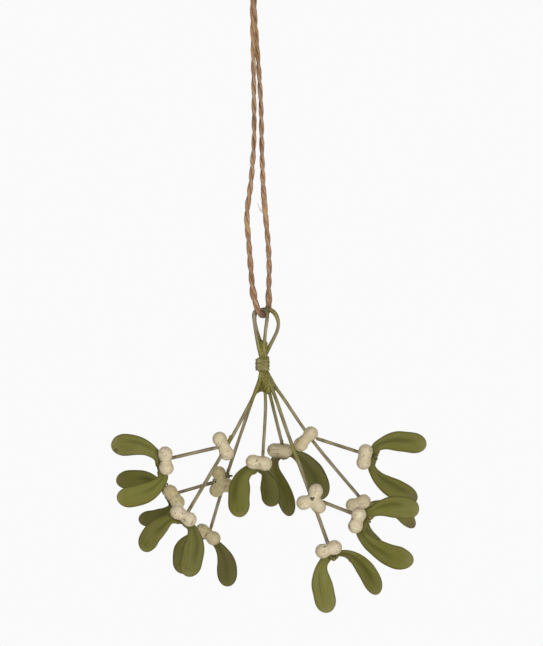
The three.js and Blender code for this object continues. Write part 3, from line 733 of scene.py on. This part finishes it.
def jute():
    """Fibres along each ply: a painted highlight where they stand out, painted shade between plies."""
    shader = Shader("jute")
    where = shader.spot("round_x", "round_y", shader.times("along", 0.16))
    fibres = shader.noise(where, 0.42, 4, 0.7)
    patches = shader.noise(where, 1.7, 2)
    colour = shader.layered(
        shader.mix(shader.ease(fibres, 0.3, 0.6), (116, 76, 46), (182, 146, 112)),
        # Painted highlight on the fibres that stand out.
        (shader.ease(fibres, 0.52, 0.7), (214, 190, 160)),
        (shader.ease(patches, 0.4, 0.7, 0, 0.5), (172, 146, 112)),
        (shader.ease(patches, 0.52, 0.3, 0, 0.75), (112, 74, 50)),
        (shader.times("gold", 0.6), (194, 154, 98)),
        # Painted shade deep between the plies, in the tuft and on the lower twine; painted shade with glue
        # where it turns under the loops.
        (shader.math("MAXIMUM", shader.ease("depth", 0.55, 1.14, 0.85, 0), "dark"), (84, 50, 30)),
    )
    return shader.surface(colour, 0.8, fibres, 0.3, 0.25, sheen=0.2)


def dark_dimple():
    shader = Shader("dark_dimple")
    patches = shader.noise(shader.place(), 0.5 * MM, 2)
    return shader.surface(shader.mix(patches, (70, 58, 40), (104, 90, 66)), 0.7)


# ---- leaves


def towards_tip(share):
    return np.clip((share - LEAF_TIP_START) / (1 - LEAF_TIP_START), 0.0, 1.0)


def leaf_outline(leaf, share):
    """Half the blade's width at a share of its length, as a share of half its full width."""
    neck, widest = leaf.get("neck", LEAF_NECK), leaf.get("widest", LEAF_WIDEST)
    body = neck + (1 - neck) * smoothstep(LEAF_NECK_END, widest, share)
    towards_start = np.clip(1 - share / LEAF_START, 0.0, 1.0)
    return body * np.sqrt((1 - towards_tip(share) ** 2) * (1 - towards_start**2))


def front_height(edge, share, groove):
    """Height of the blade's front over its middle layer: rounded, with one soft groove along it."""
    aside = np.abs(edge)
    rims = 0.07 * near(aside, 0.84, 0.1) * smoothstep(0.2, 0.5, share)
    return RIM_THICKNESS + RIB_HEIGHT * (1 - aside**2.6) - GROOVE_DEPTH * groove + rims


def add_leaf(piece, tip, leaf, seed):
    x, y, z = tip["at"]
    way = [tip["crotch"], *leaf["through"]]
    rises = LEAF_BEHIND_BERRIES - leaf["rise"] * smoothstep(0, 1, np.linspace(0, 1, len(way)))
    line = fine_route([(x + dx, y + rise, z + dz) for (dx, dz), rise in zip(way, rises)])
    share = 1 - (1 - np.linspace(0, 1, LEAF_STATIONS)) ** 1.6
    middle = at_shares(line, share)
    along = unit(np.gradient(middle, axis=0) * (1, 0, 1))
    roll = math.radians(leaf["roll"])
    front = math.cos(roll) * FORWARD + math.sin(roll) * np.cross(along, FORWARD)
    across = np.cross(front, along)

    full_half = leaf["width"] / 2
    half_width = full_half * leaf_outline(leaf, share) * (1 + 0.03 * lumps(middle, 6, seed))
    edge = np.array([*FRONT_SHARES, *BACK_SHARES])[None, :]
    aside = edge * np.maximum(half_width, 0.2)[:, None]
    rows = share[:, None]
    rounding = np.sqrt(np.clip(1 - np.abs(edge) ** 9, 0.0, 1.0)) * np.sqrt(1 - towards_tip(rows) ** 2.6)
    is_front = np.arange(edge.shape[1]) < len(FRONT_SHARES)

    at_edge, spread, strength, start, end = leaf["streak"]
    sway = 0.1 * lumps(middle * (1, 0, 1), 9, seed + 50)[:, None]
    streak = near(edge - sway, at_edge, spread) * is_front
    streak = streak * smoothstep(start - 0.12, start + 0.1, rows) * smoothstep(end + 0.14, end - 0.14, rows)
    behind = -(RIM_THICKNESS + BACK_HEIGHT * (1 - edge**2))
    height = np.where(is_front, front_height(edge, rows, streak), behind) * rounding

    length = length_of(line)
    mark, stain = np.zeros(height.shape), np.zeros(height.shape)
    for at_share, at_aside, radius, dent, brown in leaf.get("marks", ()):
        centre = at_aside * full_half * leaf_outline(leaf, np.array(at_share))
        spot = near(np.hypot(length * (rows - at_share), aside - centre), 0, radius) * is_front
        height = height - dent * spot
        mark = np.maximum(mark, spot * min(1.0, 3 * dent))
        stain = np.maximum(stain, spot * brown)

    rings = middle[:, None] + across[:, None] * aside[..., None] + front[:, None] * height[..., None]
    points, faces = skin(rings)
    swell = 0.05 * lumps(points, 3.2, seed + 3) * over_rings(rounding, rings)
    piece.add(
        points + np.outer(swell, FORWARD), faces, rings, along=length * rows, across=aside, edge=edge,
        share=rows, tone=leaf["tone"], streak=streak * strength, seed=9 * seed, mark=mark, stain=stain,
        fresh=leaf.get("fresh", 0),
    )


def add_knuckle(piece, centre, seed, tone):
    """The rounded lump where two leaves meet."""
    directions, faces = ball(4)
    points = centre + directions * (CROTCH_RADIUS * (1 + 0.12 * lumps(directions, 0.8, seed)))[:, None]
    piece.add(
        points, faces, along=points[:, 2], across=points[:, 0], edge=0.5, share=0.1, tone=tone,
        streak=0, seed=9 * seed, mark=0, stain=0, fresh=0,
    )


def make_leaves(material):
    for number, tip in enumerate(TIPS, 1):
        piece = Piece()
        for side, leaf in enumerate(tip["leaves"]):
            add_leaf(piece, tip, leaf, 2 * number + side)
        dx, dz = tip["crotch"]
        crotch = np.add(tip["at"], (dx, LEAF_BEHIND_BERRIES, dz))
        add_knuckle(piece, crotch, number, 0.9 * tip["leaves"][0]["tone"])
        piece.place(f"blades_{number}", material, "leaf", f"leaf_pair_{number}")


# ---- berries


def pair_centres(tip):
    angle = math.radians(tip["beads"])
    apart = np.array([math.cos(angle), 0.0, math.sin(angle)]) * tip["apart"]
    return np.array(tip["at"], float) + np.outer((-0.5, 0.5), apart)


def fork_centres(fork):
    return np.array([(x, fork["at"][1] - FORK_BEADS_FORWARD, z) for x, z in fork["beads"]])


def clusters():
    """The name, seed, bead middles and looks of every cluster of berries."""
    for number, tip in enumerate(TIPS, 1):
        yield "tip", number, number, pair_centres(tip), tip["berries"]
    for number, fork in enumerate(FORKS, 1):
        yield "fork", number, 20 + number, fork_centres(fork), fork["berries"]


def bead_surface(centres, core):
    """How far points lie outside beads that are run together round a core."""
    middle = centres.mean(0)

    def outside(points):
        beads = norm(points[:, None] - centres, axis=2) - BEAD_RADIUS
        every = np.column_stack([beads, norm(points - middle, axis=1) - core])
        return -BEAD_BLEND * np.log(np.exp(-every / BEAD_BLEND).sum(1))

    return outside


def reach_of(outside, origins, directions, furthest=12.0):
    """How far each ray goes from inside the beads until it comes out of them."""
    low, high = np.zeros(len(directions)), np.full(len(directions), furthest)
    for _ in range(24):
        reach = (low + high) / 2
        inside = outside(origins + directions * reach[:, None]) < 0
        low, high = np.where(inside, reach, low), np.where(inside, high, reach)
    return low


def marks_on(across, up, marks):
    """How strongly any of the marks shows at each place on the front."""
    shown = np.zeros(len(across))
    for x, z, half_length, half_width, degrees, strength in marks:
        turn = math.radians(degrees)
        lengthwise = math.cos(turn) * (across - x) + math.sin(turn) * (up - z)
        sideways = math.cos(turn) * (up - z) - math.sin(turn) * (across - x)
        mark = near(lengthwise, 0, half_length) * near(sideways, 0, half_width)
        shown = np.maximum(shown, strength * mark)
    return shown


def add_beads(
    piece, centres, seed, core=CORE_RADIUS, seam=0.3, swirl=0, tone=1, yellow=0, lines=(), stains=(),
):
    """Beads run together round a core of that radius, with a seam between neighbours.

    `seam` is how deep it is, `swirl` how many mm it curls by, and `yellow` how yellow the beads are.
    """
    directions, faces = ball(6)
    middle = centres.mean(0)
    points = middle + directions * reach_of(bead_surface(centres, core), middle, directions)[:, None]

    axis = unit(centres[1] - centres[0])
    local = (points - middle) @ np.array([axis, np.cross(FORWARD, axis), FORWARD]).T
    distances = np.sort(norm(points[:, None] - centres, axis=2), axis=1)
    signed = local[:, 0] if len(centres) == 2 else distances[:, 1] - distances[:, 0]
    crease = signed - swirl * np.sin(local[:, 1] * math.pi / (2 * BEAD_RADIUS))
    across, up, is_front = points[:, 0] - middle[0], points[:, 2] - middle[2], local[:, 2] > 0
    round_marks = [(x, z, radius, radius, 0, share) for x, z, radius, share in stains]
    points = points - directions * (SEAM_DEPTH * seam * near(crease, 0, SEAM_WIDTH))[:, None]
    points = points + directions * (0.07 * lumps(points, 2.2, seed))[:, None]
    piece.add(
        points, faces, axis=local[:, 0], side=local[:, 1], front=local[:, 2], seam=crease,
        seam_depth=seam, seed=11 * seed, tone=tone, yellow=yellow,
        hairline=is_front * marks_on(across, up, lines), stain=is_front * marks_on(across, up, round_marks),
    )


def make_berries(material):
    for kind, number, seed, centres, looks in clusters():
        piece = Piece()
        add_beads(piece, centres, seed, **looks)
        piece.place(f"{kind}_beads_{number}", material, "berry", f"{kind}_berries_{number}")


def make_dimples(material):
    """Small dark dimples, each laid on the front of the berries that it is seen on."""
    directions, faces = ball(3)
    piece = Piece()
    for (x, z), radius in DIMPLES:
        *_, centres, looks = min(
            clusters(), key=lambda cluster: min(math.hypot(c[0] - x, c[2] - z) for c in cluster[3]),
        )
        outside = bead_surface(centres, looks.get("core", CORE_RADIUS))
        origin = np.array([[x, centres[0, 1], z]])
        spot = origin[0] + FORWARD * reach_of(outside, origin, FORWARD[None, :])[0]
        out = unit(outside(spot + 0.05 * np.eye(3)) - outside(spot[None, :])[0])
        flattened = directions - 0.8 * np.outer(directions @ out, out)
        piece.add(spot + 0.02 * out + radius * flattened, faces)
    piece.place("dimples", material, "berry")


# ---- wires, tie and glue


def add_wire(piece, points, radius, seed, weathered=0.0, step=WIRE_STEP, is_stem=True):
    """A covered wire. A stem takes the loops' radius in the tie, where glue has soaked its cover."""
    path = evenly(points, step)
    level = path[:, 2]
    widened = is_stem * (LOOP_RADIUS - radius) * smoothstep(*LOOP_RADIUS_FROM, level)
    thick = near_place(path, *LOOP_SPOT)
    below_loops = smoothstep(*UNGLUED_FROM, level)
    swell = TIE_SWELL * is_stem * smoothstep(*SOAKED_FROM, level) * below_loops + LOOP_SWELL * thick
    radii = (radius + widened) * (1 + 0.07 * lumps(path, 5, seed)) * rounded_ends(path, WIRE_RADIUS)
    rings, angles = round_rings(path, radii * (1 + swell), WIRE_SIDES, (0.0, 1.0, 0.0))
    points, faces = skin(rings)
    points = points + 0.02 * lumps(points, 1.5, seed)[:, None] * unit(points - points.mean(0))
    glued = smoothstep(*GREEN_FROM, level) * below_loops if is_stem else wrap_glue_and_highlight(path)
    for spot in (0.9 * thick, near_place(path, *GREEN_SPOT)):
        glued = np.maximum(glued, spot)
    # Painted shade with glue at DARK_SPOT, where the twine turns up behind the loops.
    dark = np.maximum(near_place(path, *DARK_SPOT), 0 if is_stem else WRAP_DARK)
    for end in (path[0], path[-1]):
        collar = near(norm(path - end, axis=1), COLLAR["from_end"], COLLAR["width"])
        dark = np.maximum(dark, COLLAR["share"] * collar * (level < WEB_TOP))
    piece.add(
        points, faces, rings, along=step * np.arange(len(path)) + 40 * seed, dark=dark, glued=glued,
        round_x=np.cos(angles)[None, :], round_y=np.sin(angles)[None, :],
        weathered=weathered * smoothstep(*WEATHERED_FROM, level),
    )


def make_wires(material):
    stems = [trimmed_end(stem, CLEARANCE) for stem in STEMS]
    routes = {
        "front_wire": [*reversed(stems[0]), *FRONT_LOOP, *stems[4]],
        "back_wire": [*reversed(stems[1]), *BACK_LOOP, *stems[3]],
        "middle_stem": [*MIDDLE_STEM_TOP, *stems[2]],
        "right_stem": [*RIGHT_STEM_TOP, *stems[5]],
    }
    routes |= {f"side_stem_{number}": route for number, route in enumerate(SIDE_STEMS, 1)}
    for seed, (name, route) in enumerate(routes.items(), 1):
        radius, weathered = COVERS[name.split("_")[0]]
        piece = Piece()
        add_wire(piece, route, radius, seed, weathered)
        slot = "loop_wire" if name.endswith("wire") else "stem_wire"
        piece.place(f"{name}_cover", material, slot, name)


def wrap_glue_and_highlight(points):
    """Green glue on the wrap, partly a painted highlight: most at its middle, least at left and right."""
    return 1.0 - 0.8 * smoothstep(*WRAP_GREEN, np.abs(points[:, 0] - WRAP_GREEN_X))


def round_the_stems(turn, height, out):
    """A point beside the rounded outline of the six stems, `out` mm from their middles."""
    x, y = math.cos(2 * math.pi * turn), -math.sin(2 * math.pi * turn)
    flat_x, flat_y = (np.clip(2.5 * v, -1, 1) for v in (x, y))
    return (WRAP_X + COLUMN * flat_x + out * x, ROW * flat_y + out * y, height)


def make_tie_wrap(material):
    """Three turns of wire that are stuck together, with their upper end raised at the front right."""
    coil = [round_the_stems(turn, height, WRAP_OUT - closer) for turn, height, closer in WRAP_END]
    for turn in np.arange(0.14, WRAP_TURNS, 1 / 14):
        height = WRAP_TOP - WRAP_PITCH * turn + 0.1 * math.sin(5 * turn)
        closer = sum(most * near(turn, middle, turns) for middle, turns, most in WRAP_PULLED_IN)
        coil.append(round_the_stems(turn, height, WRAP_OUT - closer))
    piece = Piece()
    add_wire(piece, coil, WRAP_RADIUS, 12, step=0.5, is_stem=False)
    points, faces = skin(np.array([
        [
            round_the_stems(turn, height, WRAP_OUT + WRAP_RADIUS * WRAP_FILLING)
            for turn in np.linspace(0, 1, 33)[:-1]
        ]
        for height in np.linspace(WRAP_TOP - 0.3, WRAP_TOP - WRAP_TURNS * WRAP_PITCH, 12)
    ]))
    piece.add(
        points, faces, along=points[:, 2], round_x=points[:, 0] / 3, round_y=points[:, 1] / 3,
        dark=WRAP_DARK, glued=wrap_glue_and_highlight(points), weathered=0.6,
    )
    piece.place("tie_wrap_cover", material, "loop_wire", "tie_wrap")


def at_heights(line, heights):
    """The points of a downward line at the heights."""
    x, y = (np.interp(-heights, -line[:, 2], line[:, axis]) for axis in (0, 1))
    return np.stack([x, y, heights], 1)


def make_webs(left_material, material):
    """Sheets of dried glue between neighbouring stems, thick against them and hollow below."""
    across = np.linspace(1, 0, 13)
    for node, (stems, bottoms, hollow) in WEBS.items():
        lines = [fine_route(stem) for stem in stems]
        bottom = np.interp(across, (0, 1), bottoms) + 4 * hollow * across * (1 - across)
        rings = []
        for down in np.linspace(0, 1, 16):
            heights = WEB_TOP + down * (bottom - WEB_TOP)
            left, right = (at_heights(line, heights) for line in lines)
            middle = left + across[:, None] * (right - left)
            thick = (WEB_THIN + WEB_FLARE * (2 * across - 1) ** 2) * (1 - 0.5 * down**6)
            out = np.outer(thick, FORWARD)
            rings.append(np.vstack([middle + out, (middle - out)[::-1]]))
        points, faces = skin(np.array(rings))
        piece = Piece()
        piece.add(points + np.outer(0.1 * lumps(points, 1.6, 5), (0.3, -1, 0)), faces)
        piece.place(f"{node}_sheet", left_material if "left" in node else material, "glue", node)


def add_glue_string(piece, radius, ragged, route):
    path = evenly(route, 0.2)
    radii = radius * (1 + ragged * lumps(path, 0.8, 77)) * rounded_ends(path, radius)
    piece.add(*skin(round_rings(path, radii, 12, (0.0, 1.0, 0.0))[0]))


def make_glue(name, material, string, skins=()):
    piece = Piece()
    for points, faces in skins:
        piece.add(points, faces)
    add_glue_string(piece, *string)
    piece.place(name, material, "glue")


def tie_glue_skins():
    """Glue run in among the wires just above the tie and just below it."""
    angles = np.linspace(0, 2 * math.pi, 41)[:-1]
    for levels in TIE_GLUE:
        at = np.linspace(0, len(levels) - 1, 9 * len(levels))
        height, left, right, front, back = (
            np.interp(at, range(len(levels)), column)[:, None] for column in zip(*levels)
        )
        x = (left + right) / 2 + (right - left) / 2 * np.cos(angles)
        y = (front + back) / 2 + (back - front) / 2 * np.sin(angles)
        points, faces = skin(np.stack([x, y, np.broadcast_to(height, x.shape)], -1))
        ridges = 0.14 * lumps(points * (1, 1, 0.12), 0.8, 12) + 0.03 * lumps(points, 0.9, 13)
        yield points + np.outer(ridges, FORWARD), faces


def glue_drop_skins():
    directions, faces = ball(4)
    for number, (*centre, radius) in enumerate(GLUE_DROPS):
        ragged = 1 + 0.3 * lumps(directions, 0.7, 30 + number) + 0.12 * lumps(directions, 0.3, 60 + number)
        yield np.array(centre) + directions * (radius * ragged)[:, None], faces


# ---- twine


def worn(points):
    """How much the fibres swell and how golden they are at each point of the twine."""
    swell, gold = np.zeros(len(points)), np.zeros(len(points))
    for at, reach, swollen, golden in FRAYS:
        share = near_place(points, at, reach)
        swell, gold = swell + swollen * share, np.maximum(gold, golden * share)
    return swell, gold


def add_twine(piece, points, seed):
    """Two plies laid round each other, each with fibres that stand out along it."""
    path = evenly(points, TWINE_STEP)
    _, across, front = carried_frames(path)
    reached = TWINE_STEP * np.arange(len(path))[:, None]
    upper, lower = TWINE_PITCH["upper"], TWINE_PITCH["lower"]
    pitch = upper + (lower - upper) * smoothstep(*TWINE_PITCH["heights"], path[:, 2])
    turned = np.cumsum(2 * math.pi * TWINE_STEP / pitch)
    swell, gold = worn(path)
    swell = swell + FULLER_BELOW["swell"] * smoothstep(*FULLER_BELOW["heights"], path[:, 2])
    shaded = SHADED_BELOW["share"] * smoothstep(*SHADED_BELOW["heights"], path[:, 2])
    for ply in (0, 1):
        turn = math.pi * ply + 0.6 - turned + 0.25 * lumps(path, 9, seed)
        offset = PLY_OFFSET * (1 + 0.15 * lumps(path, 5, seed + ply))
        way = path + offset[:, None] * (np.cos(turn)[:, None] * across + np.sin(turn)[:, None] * front)
        strand = 2 * math.pi * np.arange(PLY_SIDES) / PLY_SIDES + FIBRE_TWIST * reached
        along_fibres = np.broadcast_to(reached / 5, strand.shape)
        places = np.stack([1.5 * np.cos(strand), 1.5 * np.sin(strand), along_fibres], -1)
        fibres = lumps(places.reshape(-1, 3), 0.55, seed + 5 * ply).reshape(strand.shape)
        even = (PLY_RADIUS + swell) * (1 + 0.06 * lumps(way, 3, seed + ply))
        radii = even[:, None] + 0.11 * fibres
        rings, _ = round_rings(way, radii * rounded_ends(way, PLY_RADIUS)[:, None], PLY_SIDES)
        depth = norm(rings - path[:, None], axis=2) / (1 + 2 * swell[:, None] / TWINE_DIAMETER)
        piece.add(
            *skin(rings), rings, along=reached + 90 * ply, round_x=np.cos(strand), round_y=np.sin(strand),
            depth=depth, gold=gold, dark=np.maximum(near_place(path, *DARK_SPOT), shaded),
        )
    return path


def add_fibre(piece, route, radius, gold=0.3):
    path = evenly(route, 0.35)
    points, faces = skin(round_rings(path, radius * np.linspace(1.0, 0.45, len(path)), 5)[0])
    piece.add(points, faces, along=points[:, 2], round_x=0.3, round_y=0.8, depth=1.3, gold=gold, dark=0)


def add_tuft(piece):
    """Fibres pressed together between the twine and the tops of the wire loops, dark as painted shade."""
    directions, faces = ball(4)
    ragged = (1 + 0.25 * lumps(directions, 0.5, 9))[:, None]
    points = np.array(TUFT["at"]) + directions * TUFT["half_size"] * ragged
    # dark=0.8 paints the shade under the loops onto these fibres.
    piece.add(
        points, faces, along=points[:, 0], round_x=directions[:, 1], round_y=directions[:, 2],
        depth=1, gold=0, dark=0.8,
    )


def add_fuzz(piece, path, count, seed):
    """Short fibre ends that lift off the twine here and there."""
    chance = np.random.default_rng(seed)
    tangents, across, front = carried_frames(path)
    for _ in range(count):
        at = chance.integers(8, len(path) - 8)
        angle, lean = chance.uniform(0, 2 * math.pi), chance.choice((-1, 1))
        long, lift = chance.uniform(1.2, 3.4), chance.uniform(0.15, 0.9)
        out = math.cos(angle) * across[at] + math.sin(angle) * front[at]
        root = path[at] + out * (TWINE_DIAMETER / 2 - 0.35)
        bend = np.cross(tangents[at], out) * chance.uniform(-0.5, 0.5)
        middle = root + lean * tangents[at] * long * 0.5 + out * lift * 0.7 + bend * 0.4
        end = root + lean * tangents[at] * long + out * (lift + 0.2) + bend * 1.2
        add_fibre(piece, [root, middle, end], chance.uniform(0.035, 0.07))


def knot_coil():
    inset = TWINE_DIAMETER / 2
    low, high = KNOT["bottom"] + inset, KNOT["top"] - inset
    whole = 2 * math.pi * KNOT["turns"]
    return [
        (KNOT["coil"] * math.cos(angle), KNOT["coil"] * math.sin(angle), low + (high - low) * angle / whole)
        for angle in np.linspace(0, whole, 14 * KNOT["turns"] + 1)
    ]


def make_twine(material):
    """The hanging cord, its knot and the eye above the knot."""
    eye = Piece()
    add_fuzz(eye, add_twine(eye, EYE, 31), 14, 3)
    eye_piece = eye.place("twine_eye_strands", material, "twine", "twine_eye")

    knot = Piece()
    add_twine(knot, knot_coil(), 41)
    low, high = KNOT["bottom"] + 0.2, KNOT["top"] - 0.2
    for side in (-1, 1):
        strand = [(0.2 * side, 1.6 * side, low), (0.9 * side, 0.9 * side, -16.5), (1.7 * side, 0, high)]
        add_twine(knot, strand, 43)
    knot_piece = knot.place("twine_knot_coils", material, "twine", "twine_knot")

    twine = Piece()
    path = add_twine(twine, TWINE, 21)
    cord = twine.place("twine_strands", material, "twine", "twine")
    fuzz = Piece()
    add_fuzz(fuzz, path, 150, 8)
    for radius, route in LOOSE_FIBRES:
        add_fibre(fuzz, route, radius, 0.6)
    add_tuft(fuzz)
    fuzz_piece = fuzz.place("twine_fuzz", material, "twine")
    tuple(np.array(TWINE[0]) * MM)
    length_of(path) * MM


# ---- camera, light and floor


def aim(thing, location):
    """Put the camera or light there, facing the middle of the bunch."""
    thing.location = location
    way = Vector(CAMERA_AIM) * MM - Vector(location)
    thing.rotation_euler = way.to_track_quat("-Z", "Y").to_euler()


def make_camera():
    lens = bpy.data.cameras.new("photo_camera")
    lens.lens, lens.sensor_width = CAMERA_LENS, 36.0
    lens.clip_start, lens.clip_end = 0.05, 20.0
    camera = linked("photo_camera", lens)
    x, y, z = CAMERA_AIM
    aim(camera, (x * MM, (y - CAMERA_DISTANCE) * MM, z * MM))
    bpy.context.scene.camera = camera


def make_light(name, location, size, power, tint):
    """A soft square light."""
    lamp = bpy.data.lights.new(name, "AREA")
    lamp.shape, lamp.size, lamp.energy, lamp.color = "SQUARE", size, power, tint
    aim(linked(name, lamp), location)


def make_world():
    """Near-white surroundings, brighter to the camera than they shine on the bunch."""
    shader = Shader("pale_studio", bpy.data.worlds)
    seen = shader.node("Background", {"Color": paint(250, 250, 250)})
    shining = shader.node("Background", {"Color": (1.0, 0.99, 0.97, 1.0), "Strength": SURROUNDINGS})
    to_camera = shader.node("LightPath", {}, "Is Camera Ray")
    blend = shader.node("MixShader", {0: to_camera, 1: shining, 2: seen})
    shader.node("OutputWorld", {"Surface": blend}, None)
    bpy.context.scene.world = shader.owner


def make_floor():
    """A pale round floor well below the bunch, fading out into the surroundings."""
    disc = bmesh.new()
    bmesh.ops.create_circle(disc, cap_ends=True, segments=96, radius=FLOOR_RADIUS * MM)
    mesh = bpy.data.meshes.new("floor")
    disc.to_mesh(mesh)
    disc.free()
    shader = Shader("pale_floor")
    place = shader.place()
    speckle = shader.ease(shader.noise(place, 0.02), 0.3, 0.7)
    colour = shader.mix(speckle, (238, 238, 237), (246, 246, 245))
    glow = shader.times(shader.node("LightPath", {}, "Is Camera Ray"), FLOOR_GLOW)
    glowing = {"Emission Color": colour, "Emission Strength": glow}
    paper = shader.node("BsdfPrincipled", {"Base Color": colour, "Roughness": 0.9} | glowing)
    away = shader.node("VectorMath", {0: place}, "Value", operation="LENGTH")
    fade = shader.ease(away, 0.35 * FLOOR_RADIUS * MM, FLOOR_RADIUS * MM)
    blend = shader.node("MixShader", {0: fade, 1: paper, 2: shader.node("BsdfTransparent", {})})
    shader.node("OutputMaterial", {"Surface": blend}, None)
    mesh.materials.append(shader.owner)
    floor = linked("floor", mesh)
    floor.location.z = FLOOR_HEIGHT * MM


# ---- assembly

make_camera()
make_twine(jute())
make_leaves(leaf_plastic())
make_berries(berry_resin())
make_dimples(dark_dimple())
wire_cover = covered_wire()
make_wires(wire_cover)
make_tie_wrap(wire_cover)
web_glue = dried_glue("web_glue", (94, 87, 34), (130, 124, 58), 0.4)
make_webs(dried_glue("brown_glue", (84, 74, 40), (116, 106, 64), 0.5), web_glue)
drop_glue = dried_glue("drop_glue", (86, 82, 42), (124, 118, 70), 0.5)
make_glue("glue_bead", web_glue, GLUE_BEAD)
make_glue("tie_glue", web_glue, GLUE_RUN, tie_glue_skins())
make_glue("glue_drops", drop_glue, GLUE_STUB, glue_drop_skins())

make_light("key_light", (0.45, -1.1, -0.35), 0.7, 10.0, (1.0, 0.985, 0.96))
make_light("fill_light", (-0.6, -1.0, 0.3), 0.9, 6.0, (1.0, 0.99, 0.98))
make_light("back_light", (0.25, 1.2, 0.1), 0.9, 9.0, (1.0, 0.99, 0.98))
make_world()
make_floor()
bpy.context.scene.view_settings.view_transform = "Standard"
